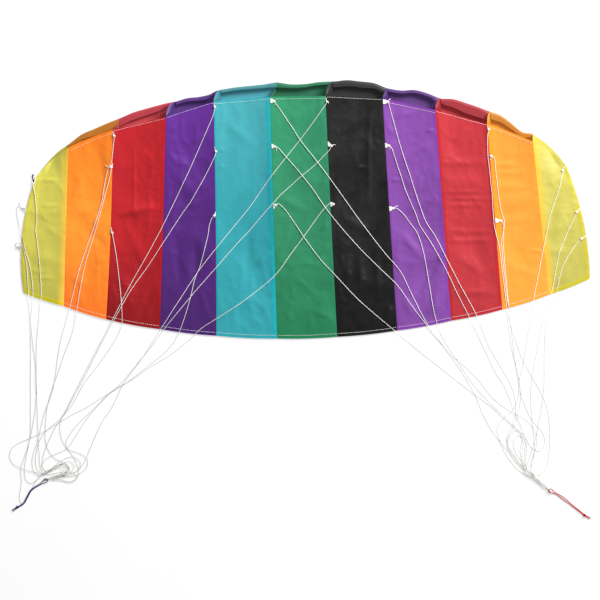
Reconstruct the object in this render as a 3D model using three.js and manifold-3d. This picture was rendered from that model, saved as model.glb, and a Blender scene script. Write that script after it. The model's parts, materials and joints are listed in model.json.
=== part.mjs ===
// A two-line soft stunt kite: a double-skin foil of eleven cells with no rods, laid out flat on its back.
// The bridle side is up. +X runs along the span, +Y towards the leading edge and +Z up. Sizes are millimetres.
// The origin lies on the floor under the middle of the canopy.
import * as THREE from "three";
import { mergeVertices } from "three/addons/utils/BufferGeometryUtils.js";
import Module from "manifold-3d";

// Driving dimensions
const SHEET = 1.0; // thickness of one layer of cloth
const GAP = 0.3; // clearance between neighbouring pieces
const LINE_DIAMETER = 1.2; // bridle line
const LINE_CLEARANCE = 0.3; // between two lines that cross
const LINE_LIFT = 0.4; // between a line and the cloth under it
const PIGTAIL_DIAMETER = 2.0;
const KNOT_RADIUS = 1.8; // the knot that ties a line to its tab
const TAB_WIDTH = 11; // bridle tab, along the seam that holds it
const TAB_THICKNESS = 1.0;
const GATHER_KNOT = { length: 17, width: 8, height: 8 };
const TAIL_KNOT = { length: 9, width: 7, height: 6 };
const LANE_PITCH = 2.0; // between the lines of a gathered bundle

// How finely each kind of sheet is divided
const LOWER_COLUMNS = 6;
const LOWER_ROWS = 12;
const UPPER_COLUMNS = 4;
const FLOOR_ROWS = 2;
const ROLL_ROWS = 4;
const LIP_ROWS = 2;
const FIRST_RIB_ROW = 2; // nearer the trailing edge the two skins lie on each other

// The seams, from the left tip to the right tip. trail and lead are the ends of the seam on the lower skin, nose is
// its front end on the upper skin, mouth is how high the lower skin stands at the leading edge, lip is the height
// of the roll at the upper skin's nose, and bulge is how far the seam or the tip's edge bows to the right.
const RIBS = [
  { trail: [-643, -191], lead: [-615.5, 73], nose: [-615.5, 73], mouth: 0, lip: 4, bulge: -17 },
  { trail: [-551, -221], lead: [-539.5, 141], nose: [-539, 150], mouth: 17, lip: 6, bulge: 0 },
  { trail: [-454, -251.5], lead: [-438, 182], nose: [-425, 208], mouth: 31, lip: 11, bulge: 3 },
  { trail: [-331, -274], lead: [-317, 211], nose: [-294, 247], mouth: 38, lip: 13, bulge: 0.8 },
  { trail: [-202, -289], lead: [-207.5, 246], nose: [-191, 274], mouth: 42, lip: 14, bulge: 1.5 },
  { trail: [-62.5, -295.5], lead: [-78.5, 257], nose: [-65, 291], mouth: 44, lip: 14, bulge: 0 },
  { trail: [75, -291.5], lead: [48, 259], nose: [65, 293], mouth: 44, lip: 14, bulge: -0.8 },
  { trail: [212.5, -277], lead: [178.3, 253], nose: [191, 277], mouth: 42, lip: 14, bulge: -0.8 },
  { trail: [336, -254.5], lead: [299, 227], nose: [312, 254], mouth: 38, lip: 13, bulge: 0 },
  { trail: [453, -229], lead: [417.3, 195], nose: [425, 224], mouth: 32, lip: 12, bulge: 0 },
  { trail: [559.5, -195], lead: [522, 155], nose: [522, 173], mouth: 21, lip: 7, bulge: 0 },
  { trail: [653, -158], lead: [599, 100], nose: [599, 100], mouth: 0, lip: 4, bulge: 13 },
];

// The cells between those seams. leadBow is how far the lower skin's leading hem bows forwards in the middle of the
// cell, and nose is how far the upper skin's nose does at a quarter, the middle and three quarters of it. sag is how
// far the lower skin hangs down between its ribs, and lip gives how far the rolled nose comes back over the mouth at
// the left seam, in the middle and at the right seam.
const CELLS = [
  { name: "yellow_left", colour: 0xcbc25a, leadBow: 7, nose: [5, 8, 6], sag: 2, lip: [5, 5, 5] },
  { name: "orange_left", colour: 0xfd8a2f, leadBow: 2, nose: [7, 5, 3], sag: 4, lip: [5, 16, 20] },
  { name: "red_left", colour: 0xb4262e, leadBow: 0, nose: [4, 4, 3], sag: 5, lip: [18, 16, 10] },
  { name: "purple_left", colour: 0x5d3187, leadBow: 1, nose: [1, -3, -4], sag: 5, lip: [9, 9, 12] },
  { name: "cyan", colour: 0x43b4c2, leadBow: 0, nose: [1, 0, -1], sag: 6, lip: [8, 8, 11] },
  { name: "green", colour: 0x3ea278, leadBow: 0, nose: [-5, -5, -1], sag: 6, lip: [12, 8, 8] },
  { name: "black", colour: 0x242424, leadBow: 0, nose: [7, 8, 8], sag: 5, lip: [13, 14, 10] },
  { name: "purple_right", colour: 0x8650a8, leadBow: 0, nose: [1, 8, 6], sag: 6, lip: [8, 8, 9] },
  { name: "red_right", colour: 0xd34247, leadBow: 0, nose: [6, 5, 3], sag: 5, lip: [11, 24, 18] },
  { name: "orange_right", colour: 0xfeae48, leadBow: 2, nose: [4, -1, -8], sag: 4, lip: [17, 15, 8] },
  { name: "yellow_right", colour: 0xe2d86c, leadBow: 8, nose: [5, 8, 7], sag: 2, lip: [5, 5, 5] },
];

// The main folds of the lower skin: the cell, the place in it (across from the left seam and along from the
// trailing edge, as shares), the turn of the fold from the chord in degrees, and its length, width and height.
const FOLDS = [
  { cell: 0, across: 0.55, along: 0.62, turn: 80, length: 80, width: 15, height: 2.5 },
  { cell: 0, across: 0.50, along: 0.30, turn: 95, length: 70, width: 16, height: 2.5 },
  { cell: 1, across: 0.55, along: 0.55, turn: -65, length: 110, width: 20, height: 3.0 },
  { cell: 1, across: 0.40, along: 0.20, turn: 15, length: 120, width: 18, height: -2.5 },
  { cell: 2, across: 0.45, along: 0.58, turn: -75, length: 120, width: 22, height: 3.5 },
  { cell: 2, across: 0.62, along: 0.25, turn: 30, length: 130, width: 22, height: -3.0 },
  { cell: 3, across: 0.35, along: 0.70, turn: -28, length: 170, width: 22, height: 3.5 },
  { cell: 3, across: 0.68, along: 0.40, turn: -35, length: 150, width: 22, height: 3.0 },
  { cell: 4, across: 0.40, along: 0.75, turn: 25, length: 160, width: 24, height: 3.5 },
  { cell: 4, across: 0.60, along: 0.30, turn: -20, length: 150, width: 24, height: -3.0 },
  { cell: 5, across: 0.55, along: 0.68, turn: -40, length: 140, width: 22, height: 3.5 },
  { cell: 5, across: 0.45, along: 0.28, turn: 55, length: 130, width: 22, height: 3.0 },
  { cell: 6, across: 0.45, along: 0.72, turn: 18, length: 170, width: 22, height: 3.0 },
  { cell: 6, across: 0.60, along: 0.22, turn: 60, length: 130, width: 22, height: 3.0 },
  { cell: 7, across: 0.60, along: 0.32, turn: 50, length: 130, width: 20, height: 4.0 },
  { cell: 7, across: 0.40, along: 0.70, turn: -15, length: 160, width: 22, height: 3.0 },
  { cell: 8, across: 0.45, along: 0.66, turn: 78, length: 110, width: 20, height: 3.0 },
  { cell: 8, across: 0.55, along: 0.35, turn: -25, length: 150, width: 22, height: -3.0 },
  { cell: 9, across: 0.50, along: 0.60, turn: 65, length: 100, width: 18, height: 3.0 },
  { cell: 9, across: 0.45, along: 0.25, turn: -20, length: 120, width: 18, height: -2.5 },
  { cell: 10, across: 0.45, along: 0.50, turn: 12, length: 140, width: 15, height: 3.0 },
];
const FOLD_FADE = 10; // a fold dies away over this distance from a seam

// Where the lines of each side run together, side by side, through a coil and up to their knot; then the pigtail that
// is hitched round that knot: its middle line from there on, and half the spread of its two legs at each point.
const SIDES = {
  left: {
    lane: [[-592, -602], [-577, -593], [-562, -584], [-550, -582], [-541, -589], [-541, -599], [-549, -606],
      [-560, -610], [-580, -615.3]],
    knot: [-589, -618],
    pigtail: {
      colour: 0x1d2a5e,
      middle: [[-589, -618], [-599, -625], [-612, -633], [-625, -642], [-634, -657], [-643, -673], [-650, -678],
        [-658, -682], [-669, -690]],
      spread: [6.3, 4.2, 1.3, 1.2, 1.2, 1.2, 1.2, 1.2, 1.8],
    },
  },
  right: {
    lane: [[488, -503], [474, -512], [466, -526], [467, -542], [476, -557], [490, -577], [507, -597], [527, -615],
      [552, -635.8]],
    knot: [559, -642],
    pigtail: {
      colour: 0xc42a36,
      middle: [[559, -642], [569, -647], [581, -653.5], [593, -662], [604, -670.5], [617, -681], [630, -691],
        [641, -700], [654, -707]],
      spread: [6.3, 4.2, 1.8, 2.6, 1.6, 1.2, 1.2, 1.2, 1.8],
    },
  },
};

// The bridle lines, in the order in which they lie on each other. rib and row say which tab holds the line, and tab
// is the middle of that tab's sewn edge. The route starts at the knot on the tab. joins is the point of the lane
// where the line comes in, and slot is its place there, counted from the middle.
const LINES = [
  { rib: 2, row: "b", side: "left", joins: 3, slot: 1.5, tab: [-438.5, 100.5],
    route: [[-442.5, 97], [-442.3, 90], [-444.5, 78.5], [-449.7, 56.5], [-457, 32], [-460.3, 17], [-463, 7],
      [-481, -56], [-502, -125], [-514, -185], [-523, -239], [-530, -278], [-549, -330], [-569, -388], [-587, -445],
      [-593, -502], [-592, -535], [-582, -558], [-565, -574]] },
  { rib: 0, row: "c", side: "left", joins: 0, slot: 0.5, tab: [-648, -89],
    route: [[-657.5, -87], [-661, -81], [-657, -76], [-650, -79], [-644.5, -88], [-640, -107], [-636.5, -126],
      [-634, -160], [-631, -207], [-629, -239], [-627, -306], [-627, -399], [-627, -450], [-629, -528],
      [-640, -564], [-649, -592], [-648, -625], [-652, -662], [-648, -673], [-640, -668], [-631, -651],
      [-621, -633], [-609, -614]] },
  { rib: 0, row: "b", side: "left", joins: 0, slot: -0.5, tab: [-637, -2],
    route: [[-646.5, 2], [-652, 7.5], [-657, 5], [-658.5, -5], [-657, -18], [-653.5, -35], [-649, -50], [-645, -65],
      [-642, -82], [-638, -98], [-633, -113], [-627.5, -135], [-622, -184], [-623, -220], [-626, -250],
      [-622, -306], [-615, -365], [-615, -445], [-622, -496], [-633, -548], [-641, -598], [-637, -620],
      [-625, -627], [-611, -618]] },
  { rib: 2, row: "a", side: "left", joins: 1, slot: -1.5, tab: [-438, 174],
    route: [[-434.8, 168], [-435.5, 157], [-437.3, 143], [-439, 124.5], [-441.5, 109], [-446, 101], [-450.5, 88],
      [-453.5, 76], [-456.3, 63], [-461, 35], [-463.2, 20], [-466, 9], [-484, -45], [-514, -132], [-529, -190],
      [-541, -239], [-560, -310], [-576, -413], [-597, -473], [-610, -528], [-623, -571], [-619, -600],
      [-606, -609], [-592, -603]] },
  { rib: 4, row: "a", side: "left", joins: 8, slot: 1.5, tab: [-207.6, 240],
    route: [[-204.6, 234], [-206, 226], [-209, 214.5], [-215.6, 198], [-228, 170], [-241.2, 139.8], [-261.2, 94.2],
      [-274, 67], [-322, -33], [-360, -104], [-399, -173], [-441, -255], [-466, -303], [-491, -351], [-523, -413],
      [-558, -478], [-587, -503], [-604, -525], [-614, -558], [-615, -583], [-608, -600], [-594, -606],
      [-580, -606], [-566, -603], [-552, -601], [-538, -602], [-527, -604], [-522, -610], [-525, -618],
      [-536, -622], [-549, -621], [-562, -617]] },
  { rib: 0, row: "a", side: "left", joins: 1, slot: 0.5, tab: [-614.5, 71],
    route: [[-620, 60], [-620.5, 52], [-618, 39], [-615.5, 22], [-614, 2], [-613, -15], [-614, -32], [-615.5, -47],
      [-613, -65], [-610.5, -87], [-606.5, -126], [-603, -191], [-606, -230], [-613, -306], [-614, -365],
      [-612, -447], [-610, -512], [-607, -560], [-604, -590], [-592, -605]] },
  { rib: 2, row: "c", side: "left", joins: 8, slot: 2.5, tab: [-443.2, -43],
    route: [[-440, -53], [-436, -75], [-431, -104], [-424, -161], [-419, -216], [-418, -262], [-425, -284],
      [-442, -313], [-475, -360], [-505, -399], [-530, -445], [-555, -478], [-560, -496], [-556, -525],
      [-546, -544], [-533, -560], [-523, -578], [-517, -600], [-522, -618], [-538, -626], [-555, -622]] },
  { rib: 4, row: "c", side: "left", joins: 8, slot: -1.5, tab: [-203.2, -9],
    route: [[-206.5, -14.5], [-212, -20.5], [-217.2, -34.6], [-220.5, -56.5], [-224, -72], [-239, -129],
      [-251, -159], [-262, -205], [-283, -271], [-296, -299], [-322, -330], [-354, -355], [-418, -404],
      [-459, -428], [-500, -454], [-537, -473], [-591, -506], [-631, -525], [-656, -536], [-671, -549],
      [-675, -566], [-667, -582], [-647, -593], [-619, -601], [-600, -605], [-585, -602], [-571, -594.5],
      [-560, -590], [-553.5, -593], [-553, -600.5], [-559, -607]] },
  { rib: 4, row: "b", side: "left", joins: 7, slot: -0.5, tab: [-205.4, 139],
    route: [[-202.2, 132.5], [-204.2, 124], [-208, 115.5], [-217, 96], [-228.3, 74.3], [-244, 46.3], [-261.6, 15.7],
      [-274, -1], [-324, -77], [-360, -132], [-399, -187], [-436, -253], [-461, -300], [-486, -349], [-518, -411],
      [-553, -474], [-569, -497], [-587, -534], [-599, -570], [-600, -590], [-591, -601], [-580, -597],
      [-566, -590], [-552, -580.5], [-541, -576.5], [-531, -580], [-527, -587.5], [-530.5, -597], [-540, -604.5]] },
  { rib: 6, row: "a", side: "left", joins: 7, slot: 0.5, tab: [48.5, 251.5],
    route: [[52, 245.5], [46, 236.5], [34.3, 219.5], [11.9, 188.5], [-10.5, 158.5], [-33, 130.5], [-79, 72],
      [-125, 6], [-155, -31], [-195, -80], [-239, -136], [-285, -205], [-326, -269], [-353, -312], [-378, -350],
      [-414, -399], [-440, -452], [-465, -490], [-489, -544], [-505, -580], [-518, -597], [-538, -605]] },
  { rib: 6, row: "b", side: "left", joins: 7, slot: -0.5, tab: [53, 150],
    route: [[62, 145], [57.5, 136.5], [43.5, 122], [30, 107.5], [12, 91.5], [-6, 77], [-35, 51], [-55, 33],
      [-71, 15], [-98, -15], [-125, -47], [-155, -79], [-205, -136], [-255, -193], [-290, -235], [-320, -272],
      [-350, -314], [-376, -345], [-420, -398], [-453, -429], [-495, -475], [-524, -519], [-543, -547],
      [-569, -560], [-592, -572], [-600, -587], [-592, -599], [-582, -596], [-572, -587], [-560, -577],
      [-545, -569], [-531, -566], [-519, -571], [-512.5, -581], [-514, -591], [-521, -599], [-535, -605]] },
  { rib: 6, row: "c", side: "left", joins: 7, slot: 1.5, tab: [59.3, 11.5],
    route: [[66.5, 12], [58.5, 13.5], [51.5, 8], [41.5, -2], [25.5, -23.5], [1, -58], [-35, -107], [-67, -150],
      [-136, -207], [-190, -243], [-237, -273], [-264, -299], [-310, -335], [-354, -361], [-395, -390],
      [-440, -415], [-480, -454], [-516, -489], [-533, -509], [-546, -534], [-541, -549], [-525, -555],
      [-507, -562], [-496, -574], [-500, -592], [-515, -605], [-536, -611]] },
  { rib: 7, row: "a", side: "right", joins: 2, slot: -1.5, tab: [179, 245.5],
    route: [[190.5, 245.3], [192.8, 239.5], [197, 224.5], [205, 195.3], [214.2, 161.5], [225.7, 123.4], [239.6, 83],
      [251, 47], [264.7, 6.5], [278.6, -29.5], [299, -61], [328, -118], [360, -180], [393, -241], [422, -312],
      [448, -358], [476, -410], [484, -451], [482, -474], [472, -502]] },
  { rib: 9, row: "a", side: "right", joins: 2, slot: -0.5, tab: [418, 188],
    route: [[421.2, 182.5], [418.5, 168], [418.6, 137], [419.7, 118], [421.8, 100.5], [424.4, 78.5], [426.3, 57],
      [429.3, 32], [430.3, 10], [432, -14], [433.6, -34], [438, -55], [445, -83], [450.8, -126.5], [456.3, -170.5],
      [461, -209], [467, -264], [476, -326], [492, -390], [495, -431], [489, -470], [477, -502]] },
  { rib: 11, row: "a", side: "right", joins: 0, slot: 0.5, tab: [595, 99],
    route: [[591, 89], [582, 45], [564, -8], [546, -93], [536, -145], [525, -203], [518, -250], [509, -303],
      [500, -358], [492, -399], [497, -425], [518, -477], [546, -513], [550, -535], [538, -553], [519, -544],
      [505, -519]] },
  { rib: 9, row: "c", side: "right", joins: 6, slot: 1.5, tab: [436, -25.5],
    route: [[448, -26], [453.5, -31], [455, -50], [455.2, -83], [458.2, -126.5], [464, -188], [466.5, -212],
      [472, -264], [487, -310], [500, -345], [521, -383], [546, -429], [557, -463], [562, -528], [556, -580],
      [545, -603], [530, -609], [516, -600], [500, -580], [486, -560], [478, -541], [482, -524], [495, -518],
      [505, -528], [505, -550], [503, -575]] },
  { rib: 5, row: "a", side: "right", joins: 5, slot: -1.5, tab: [-78.2, 248],
    route: [[-69, 246.5], [-59.3, 233], [-46, 213.3], [-28, 186.7], [-10, 159], [29, 109], [60, 68], [93, 22],
      [122, -19], [184, -100], [219, -141], [244, -191], [278, -257], [310, -303], [351, -358], [389, -421],
      [406, -463], [429, -506], [452, -536], [469, -557]] },
  { rib: 11, row: "c", side: "right", joins: 6, slot: 1.5, tab: [644.5, -60],
    route: [[634, -67], [622, -80], [612, -93], [592, -129], [584, -155], [578, -184], [570, -210], [560, -235],
      [553, -264], [550, -303], [549, -350], [549, -399], [545, -438], [535, -496], [525, -538], [515, -568]] },
  { rib: 9, row: "b", side: "right", joins: 7, slot: -1.5, tab: [424, 118.5],
    route: [[427.3, 121.3], [432, 119.8], [435, 113], [435.8, 103], [437.5, 86], [440.7, 60], [443.2, 38],
      [446.5, 16], [451, -8], [456.5, -24], [457.5, -36], [454, -53], [450.8, -72], [452.8, -105], [458, -155],
      [463.5, -200], [471, -241], [479, -322], [489, -390], [489, -431], [473, -463], [448, -486], [441, -505],
      [447, -528], [461, -560], [482, -588], [504, -607]] },
  { rib: 11, row: "b", side: "right", joins: 7, slot: 1.5, tab: [631.5, 3],
    route: [[623, -6], [615, -25], [605, -45], [583, -100], [575, -140], [569, -173], [560, -207], [550, -236],
      [543, -270], [535, -310], [521, -387], [518, -431], [522, -490], [527, -544], [524, -575], [517, -595]] },
  { rib: 7, row: "b", side: "right", joins: 6, slot: 0.5, tab: [184, 146],
    route: [[193.3, 145.5], [199, 140.5], [204.2, 126], [212.2, 101.2], [221.5, 74], [230.7, 45], [242.2, 18],
      [255.9, -13.7], [262.8, -34], [287, -72], [322, -134], [349, -191], [377, -246], [406, -307], [438, -374],
      [458, -406], [477, -451], [490, -483], [503, -515], [509, -540], [507, -568]] },
  { rib: 7, row: "c", side: "right", joins: 6, slot: -0.5, tab: [193.6, 1.5],
    route: [[203.3, 2.3], [209.7, 3], [217.6, -2.4], [229, -13.7], [240.3, -29.6], [258, -54], [271, -93],
      [280, -138], [287, -180], [299, -246], [315, -290], [345, -338], [388, -402], [422, -440], [458, -474],
      [487, -502], [498, -527], [494, -552]] },
  { rib: 5, row: "b", side: "right", joins: 7, slot: 0.5, tab: [-75.3, 144.5],
    route: [[-67.5, 143.5], [-59.3, 139.6], [-50.4, 129.5], [-41.4, 119.4], [-25.7, 101.4], [-10, 83.5], [20, 45],
      [38, 18], [64, -17], [122, -84], [177, -139], [212, -173], [246, -221], [276, -260], [329, -323], [390, -381],
      [438, -438], [472, -461], [502, -478], [521, -494], [532, -515], [530, -545], [520, -578]] },
  { rib: 5, row: "c", side: "right", joins: 6, slot: -0.5, tab: [-71.3, 5],
    route: [[-66, 10], [-59.7, 12.5], [-53, 8], [-41.6, -4.4], [-28, -23.6], [-10, -49.7], [-3, -61], [38, -116],
      [70, -150], [122, -205], [165, -243], [207, -278], [260, -322], [310, -361], [358, -399], [422, -447],
      [461, -481], [489, -505], [502, -530], [498, -558]] },
];

const wasm = await Module();
wasm.setup();

// Small helpers
const mix = THREE.MathUtils.lerp;
const smooth = THREE.MathUtils.smoothstep;
const hump = (share) => 4 * share * (1 - share);

// The plan of a skin. edge is "trail" for the trailing edge of both skins, "lead" for the front of the lower skin
// and "nose" for the front of the upper one. Shares run across a cell from its left seam, and along it from the
// trailing edge.
const TRAIL_BOW = 2;
const BOWS = {
  trail: (cell, across) => -TRAIL_BOW * hump(across),
  lead: (cell, across) => cell.leadBow * hump(across),
  nose: (cell, across) => {
    const bows = [0, ...cell.nose, 0];
    const quarter = across * (bows.length - 1);
    const first = THREE.MathUtils.clamp(Math.floor(quarter), 0, bows.length - 2);
    return mix(bows[first], bows[first + 1], quarter - first);
  },
};

const endX = (edge, cell, across) => mix(RIBS[cell][edge][0], RIBS[cell + 1][edge][0], across);
const endY = (edge, cell, across) =>
  mix(RIBS[cell][edge][1], RIBS[cell + 1][edge][1], across) + BOWS[edge](CELLS[cell], across);

function planPoint(edge, cell, across, along) {
  const bulge = mix(RIBS[cell].bulge, RIBS[cell + 1].bulge, across) * hump(along);
  return {
    x: mix(endX("trail", cell, across), endX(edge, cell, across), along) + bulge,
    y: mix(endY("trail", cell, across), endY(edge, cell, across), along),
  };
}

// Place of a seam across the span.
function seamX(edge, rib, along) {
  const { trail, bulge } = RIBS[rib];
  return mix(trail[0], RIBS[rib][edge][0], along) + bulge * hump(along);
}

const widthOf = (edge, cell, along) => seamX(edge, cell + 1, along) - seamX(edge, cell, along);

// Share of a cell's width that half a seam's gap takes up.
const seamInset = (edge, cell, along) => GAP / 2 / widthOf(edge, cell, along);

// Height of the top of the lower skin.
const SKIN_TOP = 2 * SHEET + GAP;
const RISE_POWER = 1.5;
const seamTop = (rib, along) => SKIN_TOP + RIBS[rib].mouth * Math.max(along, 0) ** RISE_POWER;

// A tip cell is sewn shut at the front, so its lower skin comes down there, away from its open-sided rib.
function tipClosing(cell, across, along) {
  const fromRib = cell === 0 ? 1 - across : cell === CELLS.length - 1 ? across : 0;
  return 1 - smooth(along, 0.78, 1) * smooth(fromRib, 0.05, 0.7);
}

function foldHeight(x, y) {
  let height = 0;
  for (const fold of FOLDS) {
    const middle = planPoint("lead", fold.cell, fold.across, fold.along);
    const turn = THREE.MathUtils.degToRad(fold.turn);
    const dx = x - middle.x;
    const dy = y - middle.y;
    const over = dx * Math.cos(turn) - dy * Math.sin(turn);
    const down = dx * Math.sin(turn) + dy * Math.cos(turn);
    const reach = Math.abs(down) / (fold.length / 2);
    if (reach < 1) height += fold.height * Math.exp(-((over / fold.width) ** 2)) * (1 - reach ** 2) ** 2;
  }
  return height;
}

function lowerTop(cell, across, along) {
  const { x, y } = planPoint("lead", cell, across, along);
  const fromSeam = widthOf("lead", cell, along) * Math.min(across, 1 - across);
  const stand = mix(seamTop(cell, along), seamTop(cell + 1, along), across) - SKIN_TOP;
  const sag = CELLS[cell].sag * hump(across) * smooth(along, 0.05, 0.5);
  const fold = foldHeight(x, y) * smooth(fromSeam, 0, FOLD_FADE) * smooth(along, 0, 0.1);
  return SKIN_TOP + Math.max(0, stand * tipClosing(cell, across, along) - sag + fold);
}

// Height of the lower panel's facets, which lie above a hollow and below a crown. A facet may be split along
// either diagonal, so the higher of the two counts.
const cornerTops = CELLS.map((_, cell) => Array.from({ length: LOWER_ROWS + 1 }, (__, row) =>
  Array.from({ length: LOWER_COLUMNS + 1 }, (___, column) =>
    lowerTop(cell, column / LOWER_COLUMNS, row / LOWER_ROWS))));

function facetTop(cell, across, along) {
  const column = Math.min(Math.floor(across * LOWER_COLUMNS), LOWER_COLUMNS - 1);
  const row = Math.min(Math.floor(along * LOWER_ROWS), LOWER_ROWS - 1);
  const a = across * LOWER_COLUMNS - column;
  const b = along * LOWER_ROWS - row;
  const [nearLeft, nearRight] = cornerTops[cell][row].slice(column, column + 2);
  const [farLeft, farRight] = cornerTops[cell][row + 1].slice(column, column + 2);
  const rising = a > b
    ? nearLeft + a * (nearRight - nearLeft) + b * (farRight - nearRight)
    : nearLeft + b * (farLeft - nearLeft) + a * (farRight - farLeft);
  const falling = a + b < 1
    ? nearLeft + a * (nearRight - nearLeft) + b * (farLeft - nearLeft)
    : farRight + (1 - a) * (farLeft - farRight) + (1 - b) * (nearRight - farRight);
  return Math.max(rising, falling);
}

// The cell and the shares of a point of the plan on the lower skin, found by a few rounds from the middle.
const FIND_ROUNDS = 6;
function findShares(x, y) {
  let along = 0.5;
  let cell = 0;
  let across = 0;
  for (let round = 0; round < FIND_ROUNDS; round += 1) {
    const inside = THREE.MathUtils.clamp(along, 0, 1);
    cell = 0;
    while (cell < CELLS.length - 1 && x > seamX("lead", cell + 1, inside)) cell += 1;
    across = (x - seamX("lead", cell, inside)) / widthOf("lead", cell, inside);
    const held = THREE.MathUtils.clamp(across, 0, 1);
    const trail = endY("trail", cell, held);
    along = (y - trail) / (endY("lead", cell, held) - trail);
  }
  return { cell, across, along };
}

// Height of what lies under a point of the plan: the canopy, or the floor beside it.
const EDGE_MARGIN = 3;
function groundAt(x, y) {
  const { cell, across, along } = findShares(x, y);
  const heldAcross = THREE.MathUtils.clamp(across, 0, 1);
  const heldAlong = THREE.MathUtils.clamp(along, 0, 1);
  const nearest = planPoint("lead", cell, heldAcross, heldAlong);
  if (Math.hypot(x - nearest.x, y - nearest.y) > EDGE_MARGIN) return 0;
  return facetTop(cell, heldAcross, heldAlong) + LINE_LIFT;
}

// A closed sheet: a box that is divided into columns and rows, with every corner put in its place. place gets the
// column, the row and the side (0 or 1) and gives a point.
function sheetGeometry(columns, rows, place) {
  const box = new THREE.BoxGeometry(columns, rows, 1, columns, rows, 1);
  const corners = box.getAttribute("position");
  for (let i = 0; i < corners.count; i += 1) {
    const column = Math.round(corners.getX(i) + columns / 2);
    const row = Math.round(corners.getY(i) + rows / 2);
    const side = Math.round(corners.getZ(i) + 0.5);
    const { x, y, z } = place(column, row, side);
    corners.setXYZ(i, x, y, z);
  }
  return weld(box);
}

function weld(geometry) {
  geometry.deleteAttribute("normal");
  geometry.deleteAttribute("uv");
  return mergeVertices(geometry, 1e-4);
}

function lowerPanel(cell) {
  return sheetGeometry(LOWER_COLUMNS, LOWER_ROWS, (column, row, side) => {
    const along = row / LOWER_ROWS;
    const inset = seamInset("lead", cell, along);
    const across = mix(inset, 1 - inset, column / LOWER_COLUMNS);
    const { x, y } = planPoint("lead", cell, across, along);
    return { x, y, z: lowerTop(cell, across, along) - (1 - side) * SHEET };
  });
}

// How far the lip comes back from the nose, through its three values.
function lipBack(cell, across) {
  const [left, middle, right] = CELLS[cell].lip;
  return mix(left, right, across) + (middle - (left + right) / 2) * hump(across);
}

// An upper panel lies on the floor, and at its nose it rolls up and back over the mouth. The tip cells are sewn
// shut, so their upper panels stay flat.
function upperPanel(cell) {
  const isTip = cell === 0 || cell === CELLS.length - 1;
  const rows = isTip ? LOWER_ROWS : FLOOR_ROWS + ROLL_ROWS + LIP_ROWS;
  return sheetGeometry(UPPER_COLUMNS, rows, (column, row, side) => {
    const inset = seamInset("nose", cell, row / rows);
    const across = mix(inset, 1 - inset, column / UPPER_COLUMNS);
    if (isTip) {
      const { x, y } = planPoint("nose", cell, across, row / rows);
      return { x, y, z: side * SHEET };
    }
    const front = planPoint("nose", cell, across, 1);
    const chord = front.y - endY("trail", cell, across);
    const radius = mix(RIBS[cell].lip, RIBS[cell + 1].lip, across) / 2;
    const faceRadius = radius - side * SHEET;
    let back = chord - (chord - radius) * (row / FLOOR_ROWS);
    let z = side * SHEET;
    if (row > FLOOR_ROWS) {
      const turn = Math.PI * (Math.min((row - FLOOR_ROWS) / ROLL_ROWS, 1) - 0.5);
      const lip = Math.max(0, row - FLOOR_ROWS - ROLL_ROWS) / LIP_ROWS;
      const reach = Math.max(lipBack(cell, across) - radius, SHEET);
      back = radius - faceRadius * Math.cos(turn) + lip * reach;
      z = radius + faceRadius * Math.sin(turn);
    }
    const { x, y } = planPoint("nose", cell, across, 1 - back / chord);
    return { x, y, z };
  });
}

// A rib leans: its upper edge is sewn to the lower skin's seam and its foot to the upper skin's.
const RIB_NOSE = 0.17; // how far the foot runs on from the lower hem towards the nose
function ribWall(rib) {
  const { trail, lead, nose } = RIBS[rib];
  const footShare = (mix(lead[1], nose[1], RIB_NOSE) - trail[1]) / (nose[1] - trail[1]);
  const rows = LOWER_ROWS - FIRST_RIB_ROW;
  return sheetGeometry(1, rows, (column, row, side) => {
    const along = (row + FIRST_RIB_ROW) / LOWER_ROWS;
    const thickness = (column - 0.5) * SHEET;
    if (side === 1) {
      const x = seamX("lead", rib, along);
      return { x: x + thickness, y: mix(trail[1], lead[1], along), z: seamTop(rib, along) - SHEET - GAP };
    }
    const footAlong = along * footShare;
    const x = seamX("nose", rib, footAlong);
    return { x: x + thickness, y: mix(trail[1], nose[1], footAlong), z: SHEET + GAP };
  });
}

// A line through given places, with a step at each of them.
class LaidPath extends THREE.Curve {
  constructor(places) {
    super();
    this.places = places;
  }

  getPoint(share, target = new THREE.Vector3()) {
    const position = share * (this.places.length - 1);
    const first = Math.min(Math.floor(position), this.places.length - 2);
    return target.lerpVectors(this.places[first], this.places[first + 1], position - first);
  }

  getPointAt(share, target) {
    return this.getPoint(share, target);
  }

  getTangentAt(share, target = new THREE.Vector3()) {
    const position = Math.round(share * (this.places.length - 1));
    const before = this.places[Math.max(position - 1, 0)];
    const after = this.places[Math.min(position + 1, this.places.length - 1)];
    return target.subVectors(after, before).normalize();
  }
}

function tube(places, diameter) {
  const section = new THREE.Shape();
  section.absarc(0, 0, diameter / 2, 0, 2 * Math.PI);
  const options = { steps: places.length - 1, extrudePath: new LaidPath(places), curveSegments: 4 };
  return weld(new THREE.ExtrudeGeometry(section, options));
}

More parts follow.
